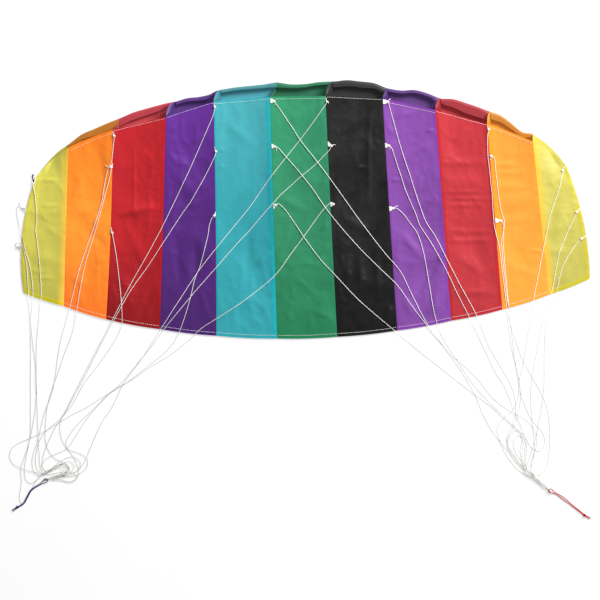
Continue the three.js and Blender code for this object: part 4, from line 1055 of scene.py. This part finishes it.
for seam, row, side, joins, place, tab, route in LEFT_LINES + RIGHT_LINES:
    label = f"{seam:02d}_{row}"
    finish = cord_finishes[f"bridle_line_{side}"]
    plan = smooth_route([*route, *lane_beside(side, place)[joins:]], LINE_STEP) * MM
    knot_height = ground_at(plan[:1, 0], plan[:1, 1])[0] + KNOT_HEIGHT
    places = lay_down(plan, LINE_DIAMETER / 2, knot_height)
    line = add_cord(f"line_{label}", places, LINE_DIAMETER, finish)
    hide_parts(f"bridle_{label}")
    knot = places[0]
    add_mesh(f"tab_{label}", [tab_ribbon(seam, metres(tab), knot)], cord_finishes["ribbon"])
    tab_knot = add_mesh(f"tab_knot_{label}", tab_knot_parts(seam, row, knot), finish)
    floor_heights.append(places[places[:, 1] < TRAIL[:, 1].min(), 2].max())
print("highest line on the floor in mm:", round(max(floor_heights) / MM, 1))

# %% [markdown]
# ## A marker at the left tip
# A wisp of dark thread is tied round the first tab of the left tip. It is one bent tube of changing thickness that
# lies on the cloth's edge.

# %% Tip marker
marker_path = metres([(-620.5, 80.5), (-622, 77), (-622.3, 72), (-620.6, 67.5), (-619.9, 64), (-619.9, 60.5)])
marker_radii = metres([1.7, 1.8, 1.1, 1.7, 1.8, 1.0])
marker_height = ground_at(marker_path[:, 0], marker_path[:, 1]) + marker_radii
marker_tube = sweep(np.column_stack((marker_path, marker_height)), marker_radii, sides=10)
add_mesh("left_tip_marker", [marker_tube], cord_finishes["marker_thread"])
print("marker length in mm:", round(path_length(marker_path) / MM))

# %% [markdown]
# ## Gathering knots
# The twelve lines of a side end in one knot. From above it is a small tight bundle, so it is one strand wound round
# and round, with four short ends of line through it.

# %% Gathering knots
GATHER_SIZE = metres((13, 5.6, 5.6))
GATHER_STRAND = 1.0 * MM
GATHER_TURNS = 72
CORE_START = -9 * MM
CORE_POINTS = 8
CORE_CLOSING = 0.7
CORE_RADIUS = 0.75 * MM
CORE_LINES = metres([(-1.95, 8, 1.7), (-0.65, 10, 3.1), (0.65, 8, 1.7), (1.95, 10, 3.1)])


def turned(points, heading, place):
    left = np.array((-heading[1], heading[0]))
    plan = points[:, :1] * heading + points[:, 1:2] * left + np.asarray(place)[:2]
    return np.column_stack((plan, points[:, 2] + place[2]))


def gather_lines(side, centre):
    heading = centre - metres(LANES[side][-1])
    heading = heading / np.linalg.norm(heading)
    wraps = turned(overhand(GATHER_SIZE / 2 - GATHER_STRAND, GATHER_TURNS), heading, (*centre, GATHER_SIZE[2] / 2))
    parts = [sweep(wraps, GATHER_STRAND, sides=9, closed=True)]
    for lean, reach, height in CORE_LINES:
        core = np.column_stack((np.linspace(CORE_START, reach, CORE_POINTS),
                                np.linspace(lean, lean * CORE_CLOSING, CORE_POINTS), np.full(CORE_POINTS, height)))
        parts.append(sweep(turned(core, heading, (*centre, 0)), CORE_RADIUS, sides=7))
    gather = add_mesh(f"gathered_lines_{side}", parts, cord_finishes[f"bridle_line_{side}"])
    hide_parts(f"gather_knot_{side}")


print("ends in a gathering knot:", len(CORE_LINES))

# %% [markdown]
# ## Pigtails
# A coloured pigtail is hitched round each gathering knot. It is a loop of cord: an arch over the knot, two legs that
# lie together on the floor, and a knot that ties the legs near their cut ends. Each leg is a cord of its own that
# starts on top of the arch, so that each has one open path. The middle starts at the gathering knot, and the spread
# is how far each leg lies from it.

# %% Pigtails
PIGTAIL_DIAMETER = 2.0 * MM
PIGTAIL_RADIUS = PIGTAIL_DIAMETER / 2
LEG_STEP = 2.0
ARCH_TOP = GATHER_SIZE[2] + PIGTAIL_RADIUS + 0.4 * MM
ARCH = metres([(0, 0, 0), (0.8, 3.2, -0.9), (3.6, 4.5, -3.0), (8, 3.6, -5.1)])
LEG_KEPT = slice(8, -3, 5)
TAIL_KNOT = metres((9, 7, 6))
TAIL_KNOT_TURNS = 60
PIGTAILS = {
    "left": {
        "finish": "navy_cord", "slot": "cord_navy",
        "middle": [(-589, -618), (-599, -625), (-612, -633), (-625, -642), (-634, -657), (-643, -673), (-650, -678),
                   (-658, -682), (-669, -690)],
        "spread": [4.2, 1.9, 1.2, 1.1, 1.1, 1.1, 1.1, 1.1, 1.7],
    },
    "right": {
        "finish": "red_cord", "slot": "cord_red",
        "middle": [(559, -642), (569, -647), (581, -653.5), (593, -662), (604, -670.5), (617, -681), (630, -691),
                   (641, -700), (654, -707)],
        "spread": [4.2, 1.9, 1.6, 2.6, 1.6, 1.1, 1.1, 1.1, 1.7],
    },
}


def leg_places(pigtail, way):
    plan = smooth_route(beside(pigtail["middle"], way * np.array(pigtail["spread"])), LEG_STEP) * MM
    leg = lay_down(plan, PIGTAIL_RADIUS)
    arch_place = (*metres(pigtail["middle"][0]), ARCH_TOP)
    arch = turned(ARCH * (1, way, 1), headings(pigtail["middle"])[0], arch_place)
    places = smooth_route(np.vstack((arch, leg[LEG_KEPT], leg[-1:])), LEG_STEP * MM)
    places[:, 2] = np.maximum(places[:, 2], PIGTAIL_RADIUS)
    return places


def tail_knot(side, pigtail):
    knot_place = (*metres(pigtail["middle"][-2]), TAIL_KNOT[2] / 2)
    knot_path = overhand(TAIL_KNOT / 2 - 0.9 * PIGTAIL_RADIUS, TAIL_KNOT_TURNS)
    knot_path = turned(knot_path, headings(pigtail["middle"])[-2], knot_place)
    tube = sweep(knot_path, PIGTAIL_RADIUS, sides=9, closed=True)
    return add_mesh(f"pigtail_{side}_knot", [tube], cord_finishes[pigtail["finish"]])


for side, pigtail in PIGTAILS.items():
    gather_lines(side, metres(pigtail["middle"][0]))
    for way, leg_name in ((1, "first"), (-1, "second")):
        places = leg_places(pigtail, way)
        name = f"pigtail_{side}_{leg_name}_leg"
        cord = add_cord(name, places, PIGTAIL_DIAMETER, cord_finishes[pigtail["finish"]])
        pieces_on_it = []
        if leg_name == "first":
            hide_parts(f"pigtail_{side}")
            pieces_on_it = [tail_knot(side, pigtail)]

# %% [markdown]
# ## Taffeta
# The cloth is thin coated polyester: smooth, a little shiny, with a fine even weave. Where it is doubled, at a hem
# or a seam, it looks deeper in colour because no light comes through it. Each panel carries that as a value on its
# corners, and a second value says how far along the cell a corner lies, so that painted light and shade can change
# its colour from the trailing edge to the nose. A third value says how much of the neighbour's cloth shows through.

# %% Cloth finish
PLAIN_MOTTLE = (0.9, 1.08)
CLOUD_GRAIN = (22.0, 3.0)
SATIN_GRAIN = 40.0
SATIN_RANGE = (0.36, 0.5)
CRINKLE_GRAIN = (75.0, 4.0, 0.55)
CRINKLE_BUMP = (0.35, 1.2 * MM)
WEAVE_BUMP = (0.12, 0.2 * MM)
DOUBLED_LOOKS = {"Saturation": 1.2, "Value": 1.06}
WEAVE = {"Scale": 330.0, "Distortion": 0.4}


def attribute_value(tree, name):
    return add_node(tree, "ShaderNodeAttribute", attribute_name=name).outputs["Fac"]


def weave(tree, direction):
    bands = add_node(tree, "ShaderNodeTexWave", WEAVE, wave_type="BANDS", bands_direction=direction)
    tree.links.new(object_place(tree), bands.inputs["Vector"])
    return bands.outputs["Fac"]


def cloth_colour(tree, tones, under, mottle):
    # The ramp along the cell carries the finish's painted light and shade.
    ramp = add_node(tree, "ShaderNodeValToRGB")
    ramp.color_ramp.elements.new(0.5)
    for element, tone in zip(ramp.color_ramp.elements, tones):
        element.color = (*np.minimum(tone, 1), 1)
    tree.links.new(attribute_value(tree, "along"), ramp.inputs["Fac"])
    cloth = ramp.outputs["Color"]
    if under is not None:
        cloth = mixed_colour(tree, "MIX", attribute_value(tree, "under"), cloth, linear(under))
    deep = add_node(tree, "ShaderNodeHueSaturation", DOUBLED_LOOKS)
    tree.links.new(attribute_value(tree, "doubled"), deep.inputs["Fac"])
    tree.links.new(cloth, deep.inputs["Color"])
    clouds = spread(tree, noise_node(tree, *CLOUD_GRAIN), *mottle)
    return mixed_colour(tree, "MULTIPLY", 1.0, deep.outputs["Color"], clouds)


def cloth_bump(tree):
    threads = add_node(tree, "ShaderNodeMath", operation="MAXIMUM")
    tree.links.new(weave(tree, "X"), threads.inputs[0])
    tree.links.new(weave(tree, "Y"), threads.inputs[1])
    ground = bumped(tree, noise_node(tree, *CRINKLE_GRAIN), *CRINKLE_BUMP)
    return bumped(tree, threads.outputs["Value"], *WEAVE_BUMP, ground)


def taffeta(name, tones, under=None, lit=0.0, mottle=PLAIN_MOTTLE):
    finish, tree, shader = new_finish(name, {
        "Specular IOR Level": 0.22, "Sheen Weight": 0.03, "Sheen Roughness": 0.4,
        # With lit above zero the cloth glows: painted light.
        "Emission Color": (*tones[1], 1), "Emission Strength": lit,
    })
    tree.links.new(cloth_colour(tree, tones, under, mottle), shader.inputs["Base Color"])
    tree.links.new(cloth_bump(tree), shader.inputs["Normal"])
    tree.links.new(spread(tree, noise_node(tree, SATIN_GRAIN), *SATIN_RANGE), shader.inputs["Roughness"])
    return finish


print("weave, bands in a metre:", WEAVE["Scale"])

# %% [markdown]
# ## Dyes and painted light
# Every panel is one dyed cloth, but its colour here also carries painted light and shade: the right half's panels
# are painted lighter than their twins on the left, and the two ends of a panel differ in painted light and shade.
# So a row gives the colour and two factors, for the trailing end and for the nose end. A factor for each of red,
# green and blue is there where the hue shifts as well. The rolled noses have their own three shades, painted light
# and shade of one cloth: inside the mouth, lightened against its shade, on a rib's wing and on the lip. Light comes
# through the lifted nose, and a little emission paints it in as a glow. In the yellow tips some orange shows
# through beside the seam.

# %% Dye the panels
# Painted light and shade: left and right panels of one cloth differ, and the two factors lighten or darken the ends.
PANEL_DYES_AS_LIT = {
    "yellow_left": ("#c8c052", 0.78, 1.2), "orange_left": ("#ff942e", (0.87, 0.56, 0.5), (0.98, 0.76, 0.63)),
    "red_left": ("#b51e26", (0.51, 0.3, 0.32), 1.05), "purple_left": ("#502376", 0.68, 1.5),
    "cyan": ("#2e959e", 1.02, (2.2, 1.22, 1.21)), "green": ("#2d805b", (0.5, 0.8, 0.68), 1.2),
    "black": ("#19191a", 0.34, 1.5),
    "purple_right": ("#784394", 1.0, 1.12), "red_right": ("#b23037", 0.9, 1.06),
    "orange_right": ("#f39335", 1.06, 0.92), "yellow_right": ("#b5ac50", 0.94, 0.98),
}
# Painted light and shade: three shades of one nose cloth, the inside of the mouth lightened against its shade, the
# wing and the lip as each is lit.
NOSE_PAINTED_SHADES = {
    "yellow_left": ("#b4aa4e", "#b4aa4e", "#b4aa4e"), "orange_left": ("#cc822f", "#b8762c", "#b27128"),
    "red_left": ("#dc505a", "#8c2a32", "#b93f4a"), "purple_left": ("#62408a", "#4a2e6d", "#58367a"),
    "cyan": ("#57afc0", "#3c7e87", "#468389"), "green": ("#347a5a", "#24583f", "#2c7250"),
    "black": ("#343434", "#2b2b2b", "#363636"), "purple_right": ("#6a448a", "#4c2e68", "#543470"),
    "red_right": ("#d14952", "#952b32", "#9d343c"), "orange_right": ("#f59a3e", "#bf862f", "#b8742c"),
    "yellow_right": ("#d2c65c", "#d2c65c", "#d2c65c"),
}
# Partly random tone, partly painted sheen: the black's mottle reaches patches over twice as light.
BLACK_SHEEN_AND_MOTTLE = (-0.2, 2.15)
# Painted light: the nose cloth glows a little, and NOSE_SHARE darkens its colours to make up for it.
NOSE_LIT = 0.3
NOSE_SHARE = 0.76
SHOW_THROUGH = "#f2bc3e"
cloth_finishes = {}
nose_finishes = {}
for cell in CELLS:
    name = cell["name"]
    colour, back_shading, front_shading = PANEL_DYES_AS_LIT[name]
    dye_as_lit = np.array(linear(colour))
    tones = (dye_as_lit * np.array(back_shading), dye_as_lit, dye_as_lit * np.array(front_shading))
    under = SHOW_THROUGH if cell["cloth"] == "yellow" else None
    mottle = BLACK_SHEEN_AND_MOTTLE if name == "black" else PLAIN_MOTTLE
    cloth_finishes[name] = taffeta(f"taffeta_{name}", tones, under, mottle=mottle)
    nose_painted_tones = [NOSE_SHARE * np.array(linear(shade)) for shade in NOSE_PAINTED_SHADES[name]]
    nose_finishes[name] = taffeta(f"taffeta_nose_{name}", nose_painted_tones, lit=NOSE_LIT)
print("cloth finishes:", len(cloth_finishes) + len(nose_finishes))

# %% [markdown]
# ## Closed sheets of cloth
# A panel is made as the tabs are, from two grids joined round the rim. That makes a thin closed sheet, which has an
# edge to see from the side, unlike a single face. The rim's edges are marked sharp, so that the shading of the faces
# isn't bent over them. Each sheet's flat size is also measured along its own grid.

# %% Sheet builder
CLOTH = 0.6 * MM


def add_cloth(name, top, under, finish, along, doubled=0.0, shown=0.0):
    corners, faces = closed_sheet(top, under)
    mesh = smooth_mesh(name, corners, faces)
    rim = np.zeros(top.shape[:2], bool)
    rim[[0, -1], :] = True
    rim[:, [0, -1]] = True
    rim = np.tile(rim.ravel(), 2)
    ends = np.empty(2 * len(mesh.edges), int)
    mesh.edges.foreach_get("vertices", ends)
    ends = ends.reshape(-1, 2)
    half = len(corners) // 2
    sharp = rim[ends].all(axis=1) & ((ends < half).sum(axis=1) != 1)
    mesh.attributes.new("sharp_edge", "BOOLEAN", "EDGE").data.foreach_set("value", sharp)
    for key, value in (("along", along), ("doubled", doubled), ("under", shown)):
        layer = mesh.attributes.new(key, "FLOAT", "POINT")
        values = np.broadcast_to(value, top.shape[:2]).ravel()
        layer.data.foreach_set("value", np.tile(values, 2).astype(np.float32))
    return add_piece(name, mesh, finish)


def grid_area(top):
    one = np.cross(top[:-1, 1:] - top[:-1, :-1], top[1:, :-1] - top[:-1, :-1])
    two = np.cross(top[1:, :-1] - top[1:, 1:], top[:-1, 1:] - top[1:, 1:])
    return float((np.linalg.norm(one, axis=2) + np.linalg.norm(two, axis=2)).sum() / 2)


def declare_cloth(top):
    width = max(path_length(row) for row in top)
    length = max(path_length(column) for column in top.swapaxes(0, 1))
    area = grid_area(top)
    return [round(size, 3) for size in (width, length, area)]


print("cloth thickness in mm:", CLOTH / MM)

# %% [markdown]
# ## Stitches
# White thread runs along both hems of the open cells. A painted dash would have no thickness, so each stitch is a
# small rounded bar that lies on the cloth and dips into it at both ends. The points, the heights and the sizes are
# those of one bar, as shares of its length and of the thread's radius.

# %% Stitch rows
TRAIL_STITCH = 7.5 * MM
STITCH_LENGTH = 4.3 * MM
STITCH_PITCH = 4.8 * MM
STITCH_MARGIN = 0.4 * STITCH_PITCH
STITCH_RADIUS = 0.34 * MM
STITCH_LIFT = 0.2 * MM
STITCH_POINTS = np.array((0, 0.12, 0.5, 0.88, 1.0))
STITCH_HEIGHTS = np.array((-0.9, 0.1, 0.5, 0.1, -0.9))
STITCH_SIZES = np.array((0.45, 0.9, 1.0, 0.9, 0.45))
HEM_SAMPLES = 200


def stitch_row(cell, hem, distance):
    across = np.linspace(0, 1, HEM_SAMPLES)
    chord = front_y(cell, across) - back_y(cell, across)
    along = distance / chord if hem == "trail" else 1 - distance / chord
    height = skin_top(np.full(HEM_SAMPLES, cell), across, along) + STITCH_LIFT
    path = np.column_stack((*lower_plan(cell, across, along), height))
    gone = distances_along(path)
    count = int((gone[-1] - STITCH_MARGIN) // STITCH_PITCH)
    first = (gone[-1] - count * STITCH_PITCH) / 2
    parts = []
    for start in first + np.arange(count) * STITCH_PITCH:
        bar = places_at(path, gone, start + STITCH_LENGTH * STITCH_POINTS)
        bar[:, 2] += STITCH_RADIUS * STITCH_HEIGHTS
        parts.append(sweep(bar, STITCH_RADIUS * STITCH_SIZES, sides=6))
    return parts


print("stitches in the cyan panel's trailing hem:", len(stitch_row(CYAN_CELL, "trail", TRAIL_STITCH)))

# %% [markdown]
# ## Lower skin
# The eleven lower panels are what the picture shows most of. Their grid is fine enough, about two and a half
# millimetres, to hold every crease as real shape. Bump alone would leave the edges and the lines' shadows straight.
# The two closed tips have no row of stitches.

# %% Lower panels
LOWER_COLUMNS = 44
LOWER_ROWS = 176
SEAM_GAP = 0.15 * MM
SHOWN_SHARE = 0.72
SHOWN_BAND = (5 * MM, 17 * MM)
lower_sizes = {}
for index, cell in enumerate(CELLS):
    name = cell["name"]
    along = np.linspace(0, 1, LOWER_ROWS + 1)[:, None] * np.ones((1, LOWER_COLUMNS + 1))
    inset = SEAM_GAP / cell_width(index, along)
    across = mix(inset, 1 - inset, np.linspace(0, 1, LOWER_COLUMNS + 1)[None, :])
    cell_number = np.full(across.shape, index)
    x, y = lower_plan(cell_number, across, along)
    top = np.dstack((x, y, skin_top(cell_number, across, along)))
    left, right = edge_distances(cell_number, across, along)[:2]
    orange_side = right if index == 0 else left
    doubled = doubled_cloth(cell_number, across, along)
    shown = SHOWN_SHARE * (1 - ease(orange_side, *SHOWN_BAND))
    panel = add_cloth(f"lower_skin_{name}", top, top - (0, 0, CLOTH), cloth_finishes[name],
                      along, doubled, shown)
    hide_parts(f"lower_{name}")
    sewn = []
    if index not in (0, LAST_CELL):
        rows = stitch_row(index, "trail", TRAIL_STITCH) + stitch_row(index, "lead", LEAD_HEM[index])
        sewn = [add_mesh(f"stitching_{name}", rows, cord_finishes["white_thread"])]
    lower_sizes[name] = declare_cloth(top)
print("lower panels, width, length and area:", lower_sizes)

# %% [markdown]
# ## The nose in the plan
# The upper panels lie on the floor, and their noses don't end in a straight line. The bows in the cells' table bend
# each nose between its seams, and a smooth curve goes through them. The lip's reach is how far its hem comes back
# over the mouth, at the left, in the middle and at the right.

# %% Plan of the nose


def through(sizes, share):
    sizes = np.concatenate(([sizes[0]], sizes, [sizes[-1]]))
    position = np.clip(share, 0, 1) * (len(sizes) - 3)
    first = np.minimum(position.astype(int), len(sizes) - 4)
    t = position - first
    p0, p1, p2, p3 = (sizes[first + i] for i in range(4))
    return p1 + 0.5 * t * (p2 - p0 + t * (2 * p0 - 5 * p1 + 4 * p2 - p3 + t * (3 * (p1 - p2) + p3 - p0)))


def nose_y(index, across):
    bows = metres((0, *CELLS[index]["nose"], 0))
    return between_seams(NOSE[:, 1], index, across) + through(bows, across)


def upper_plan(index, across, along):
    bulge = between_seams(BULGE, index, across) * hump(along)
    x = mix(between_seams(TRAIL[:, 0], index, across), between_seams(NOSE[:, 0], index, across), along) + bulge
    return x, mix(back_y(index, across), nose_y(index, across), along)


def lip_reach(index, across):
    left, middle, right = metres(CELLS[index]["lip"])
    return mix(left, right, across) + (middle - (left + right) / 2) * hump(across)


nose_middle = nose_y(CYAN_CELL, np.array([0.5]))[0]
print("cyan nose beyond the lower hem in mm:", round((nose_middle - front_y(CYAN_CELL, 0.5)) / MM, 1))

# %% [markdown]
# ## Wings of the ribs
# At most seams the next rib's front stands as a rounded wing from the lower hem's corner to the nose, so a lip ends
# on the edge of that wing. The edge is a simple curve with one bend, and the table says how far each wing bends.

# %% Wings
WINGS = {3: 0.8, 4: 0.75, 6: 0.6, 7: 0.5, 8: 0.9, 9: 0.9, 10: 0.6}
HEAD_BELOW_SKIN = 1.0 * MM
WING_OVER_LIP = 0.9 * MM
EDGE_SAMPLES = 40


def foot_plan(seam, share):
    return mix(TRAIL[seam], NOSE[seam], np.asarray(share)[..., None])


def wing_edge(seam, share):
    corner = np.array((*LEAD[seam], SKIN_TOP + MOUTH[seam] - HEAD_BELOW_SKIN))
    tip = np.array((*NOSE[seam], LIP[seam] + WING_OVER_LIP))
    bend = mix(corner, tip, 0.5)
    bend[0] = mix(corner[0], tip[0], 0.5 * (1 - WINGS[seam]))
    bend[1] = mix(corner[1], tip[1], 0.5 * (1 + WINGS[seam]))
    share = np.asarray(share, float)[:, None]
    return corner * (1 - share) ** 2 + 2 * bend * share * (1 - share) + tip * share ** 2


def wing_inset(seam, y):
    edge = wing_edge(seam, np.linspace(0, 1, EDGE_SAMPLES))
    share = (y - TRAIL[seam, 1]) / (NOSE[seam, 1] - TRAIL[seam, 1])
    return foot_plan(seam, share)[..., 0] - np.interp(y, edge[:, 1], edge[:, 0])


print("insets of the lip at seam 3 in mm:", np.round(wing_inset(3, np.array((0.21, 0.23, 0.245))) / MM, 1))

# %% [markdown]
# ## Upper skin and its rolled nose
# The upper panels are longer than the lower ones: at the nose each rolls up and comes back over the mouth, and its
# hem lies there as a lip. The section of the roll is a half circle, and small waves keep the lip from looking
# stamped. The two tip cells are sewn shut, so their panels stay flat.

# %% Upper panels
UPPER_COLUMNS = 48
FLOOR_ROWS = 16
ROLL_ROWS = 16
LIP_ROWS = 12
ROLLED_ROWS = FLOOR_ROWS + ROLL_ROWS + LIP_ROWS
TIP_ROWS = 30
# ROLL_TONE: where the roll starts among the nose's painted shades, between inside and wing.
ROLL_TONE = 0.3
LIP_WAVE = 30 * MM
WAVED_WIDTH = 0.12
LIP_RIPPLE = 1.0 * MM
SHORTEST_LIP = 1 * MM
LIP_DROOP = 0.06
LIP_SAG = 0.4 * MM
WING_GAP = 1 * MM
BESIDE_WING = (0.7, 1.0)


def rolled_face(index, across, inner):
    chord = nose_y(index, across) - back_y(index, across)
    radius = between_seams(LIP, index, across) / 2
    face = radius - inner
    wave = noise_at(across * WAVED_WIDTH + index, np.zeros_like(across), LIP_WAVE, 9.1)
    reach = np.maximum(lip_reach(index, across) - radius, SHORTEST_LIP) + LIP_RIPPLE * wave
    lines = []
    for row in range(ROLLED_ROWS + 1):
        turn = math.pi * (np.clip((row - FLOOR_ROWS) / ROLL_ROWS, 0, 1) - 0.5)
        if row <= FLOOR_ROWS:
            back = chord - (chord - radius) * (row / FLOOR_ROWS)
            z = np.full_like(across, inner)
        else:
            lip = max(0, row - FLOOR_ROWS - ROLL_ROWS) / LIP_ROWS
            back = radius - face * math.cos(turn) + lip * reach
            z = radius + face * math.sin(turn) - lip * (LIP_DROOP * radius + LIP_SAG * (wave + 0.5))
        x, y = upper_plan(index, across, 1 - back / chord)
        if index + 1 in WINGS:
            raised = 0.5 + 0.5 * math.sin(turn)
            x = x - raised * (wing_inset(index + 1, y) + WING_GAP) * ease(across, *BESIDE_WING)
        lines.append(np.column_stack((x, y, z)))
    return np.stack(lines)


upper_sizes = {}
for index, cell in enumerate(CELLS):
    name = cell["name"]
    gap = SEAM_GAP / cell_width(index, 1.0)
    across = np.linspace(gap, 1 - gap, UPPER_COLUMNS + 1)
    if index in (0, LAST_CELL):
        along = np.linspace(0, 1, TIP_ROWS + 1)
        flat = np.zeros_like(across)
        outer = np.stack([np.column_stack((*upper_plan(index, across, share), flat)) for share in along])
        inner = outer + (0, 0, CLOTH)
    else:
        outer = rolled_face(index, across, 0.0)
        inner = rolled_face(index, across, CLOTH)
        along = np.concatenate((np.zeros(FLOOR_ROWS + 1), np.linspace(ROLL_TONE, 1, ROLL_ROWS // 2),
                                np.ones(ROLL_ROWS // 2 + LIP_ROWS)))
    panel = add_cloth(f"upper_skin_{name}", inner, outer, nose_finishes[name],
                      along[:, None])
    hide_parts(f"upper_{name}")
    upper_sizes[name] = declare_cloth(inner)
print("upper panels, width, length and area:", upper_sizes)

# %% [markdown]
# ## Edges of a rib
# Ten ribs stand between the cells. The skins are sewn to their edges, and only the front of each shows, as a small
# wing in the corner of a mouth. A rib's head follows the lower skin's seam, its foot follows the upper skin's seam,
# and the wing goes on from the lower hem's corner. Where the neighbour's lip lies over it, the wing stays low
# instead.

# %% Rib edges
RIB_ROWS = 36
WING_ROWS = 16
FIRST_ALONG = 1 / 6
FOOT_HEIGHT = 1.0 * MM
LOW_TIP_HEIGHT = 2.5 * MM
WING_FOOT_BACK = 0.15
LOW_FOOT_BACK = 0.8


def rib_edges(seam):
    along = np.linspace(FIRST_ALONG, 1, RIB_ROWS + 1)
    share = np.linspace(0, 1, WING_ROWS + 1)[1:]
    head = np.column_stack((seam_x(seam, along), mix(TRAIL[seam, 1], LEAD[seam, 1], along),
                            SKIN_TOP + MOUTH[seam] * along ** RISE_POWER - HEAD_BELOW_SKIN))
    chord = NOSE[seam, 1] - TRAIL[seam, 1]
    corner_share = (LEAD[seam, 1] - TRAIL[seam, 1]) / chord
    tip_share = 1 - (WING_FOOT_BACK if seam in WINGS else LOW_FOOT_BACK) * LIP[seam] / chord
    if seam in WINGS:
        wing = wing_edge(seam, share)
    else:
        wing = mix(head[-1], np.array((*foot_plan(seam, tip_share), LOW_TIP_HEIGHT)), share[:, None])
    foot_share = np.concatenate((along * corner_share, mix(corner_share, tip_share, share)))
    foot = np.column_stack((foot_plan(seam, foot_share), np.full(len(foot_share), FOOT_HEIGHT)))
    return np.vstack((head, wing)), foot


print("points on the edge of a rib:", len(rib_edges(CYAN_CELL)[0]))

# %% [markdown]
# ## Ribs
# A rib leans, because its foot and its head follow different seams, and it bellies a little, as loose cloth does. So
# the sheet is drawn between its two edges. At the wing the upper edge bends over to the nose, and the cloth below it
# rounds down to the foot.

# %% Rib sheets
RIB_COLUMNS = 12
# RIB_TONE picks the wing's painted shade from the nose finish.
RIB_TONE = 0.5
RIB_CLOTH = 0.7 * CLOTH
RIB_BELLY = 1.2 * MM
BELLY_ROWS = 4
WING_BLEND = 4
WING_ROUND = 2.4
rib_sizes = {}
for seam in range(1, len(CELLS)):
    cell = CELLS[seam]
    head, foot = rib_edges(seam)
    row = np.arange(len(head))
    up = np.linspace(0, 1, RIB_COLUMNS + 1)[None, :]
    wall = mix(foot[:, None, :], head[:, None, :], up[..., None])
    onto_wing = ease(row, RIB_ROWS - WING_BLEND, RIB_ROWS + WING_BLEND)[:, None]
    rounded = mix(up, 1 - (1 - up) ** WING_ROUND, onto_wing)
    wall[..., 2] = mix(foot[:, 2:], head[:, 2:], rounded)
    wall[..., 0] += hump(up) * (RIB_BELLY * np.sin(row / BELLY_ROWS + seam))[:, None] * (1 - onto_wing)
    rib = add_cloth(f"rib_cloth_{seam:02d}", wall, wall + (RIB_CLOTH, 0, -RIB_CLOTH), nose_finishes[cell["name"]],
                    RIB_TONE)
    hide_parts(f"rib_{seam:02d}")
    rib_sizes[seam] = declare_cloth(wall)
print("ribs, width, length and area:", rib_sizes)

# %% [markdown]
# ## Bound edges of the tips
# The outer edge of each tip cell is bound with a narrow pale tape, where both skins are closed. From above only its
# rounded edge shows, so it is a thin tube along the curved edge.

# %% Tip binding
BINDING_POINTS = 90
BINDING_ENDS = (0.01, 0.99)
BINDING_HEIGHT = 1.2 * MM
BINDING_RADIUS = 0.9 * MM
binding_lengths = {}
for index, outer_share in ((0, 0.0), (LAST_CELL, 1.0)):
    cell = CELLS[index]
    x, y = lower_plan(index, outer_share, np.linspace(*BINDING_ENDS, BINDING_POINTS))
    path = np.column_stack((x, y, np.full(BINDING_POINTS, BINDING_HEIGHT)))
    add_mesh(f"tip_binding_{cell['name']}", [sweep(path, BINDING_RADIUS)], cord_finishes["tip_binding"])
    binding_lengths[cell["name"]] = round(path_length(path) / MM)
print("tip bindings, length in mm:", binding_lengths)

# %% [markdown]
# ## Floor
# The kite was photographed on white. The floor is a wide pale plane just below the cloth. It glows a little, so that
# it stays white under a soft light that doesn't bleach the cloth. It belongs to the picture, not to the kite.

# %% Floor
FLOOR_HALF = 12
FLOOR_HEIGHT = -0.6 * MM
FLOOR_TONES = ((0.37, 0.37, 0.37), (0.39, 0.39, 0.39))
floor_corners = [(x * FLOOR_HALF, y * FLOOR_HALF, FLOOR_HEIGHT) for x, y in ((-1, -1), (1, -1), (1, 1), (-1, 1))]
floor_mesh = bpy.data.meshes.new("floor")
floor_mesh.from_pydata(floor_corners, [], [(0, 1, 2, 3)])
floor_finish, floor_tree, floor_shader = new_finish("pale_floor", {
    "Roughness": 0.9, "Specular IOR Level": 0.1, "Emission Color": (1, 1, 1, 1), "Emission Strength": 0.58,
})
floor_tone = mixed_colour(floor_tree, "MIX", noise_node(floor_tree, 3.0), *FLOOR_TONES)
floor_tree.links.new(floor_tone, floor_shader.inputs["Base Color"])
floor_mesh.materials.append(floor_finish)
floor = bpy.data.objects.new("floor", floor_mesh)
scene.collection.objects.link(floor)
print("floor, width in metres:", 2 * FLOOR_HALF)

# %% [markdown]
# ## Light
# The light is a soft studio light that comes mostly from the upper right. One large lamp gives the cloth its
# direction, and an even sky fills the shade.

# %% Light
SKY_STRENGTH = 0.44
LAMP_PLACE = Vector((3.0, 2.8, 2.7))
LAMP_TARGET = Vector((0.0, -0.1, 0.0))
LAMP_SIZE = 2.2
LAMP_POWER = 445.0
sky = bpy.data.worlds.new("studio")
sky.use_nodes = True
set_inputs(sky.node_tree.nodes["Background"], {"Color": (1, 1, 1, 1), "Strength": SKY_STRENGTH})
scene.world = sky
lamp_data = bpy.data.lights.new("key_lamp", "AREA")
lamp_data.size = LAMP_SIZE
lamp_data.energy = LAMP_POWER
lamp = bpy.data.objects.new("key_lamp", lamp_data)
lamp.location = LAMP_PLACE
lamp.rotation_mode = "QUATERNION"
lamp.rotation_quaternion = (LAMP_TARGET - LAMP_PLACE).to_track_quat("-Z", "Y")
scene.collection.objects.link(lamp)
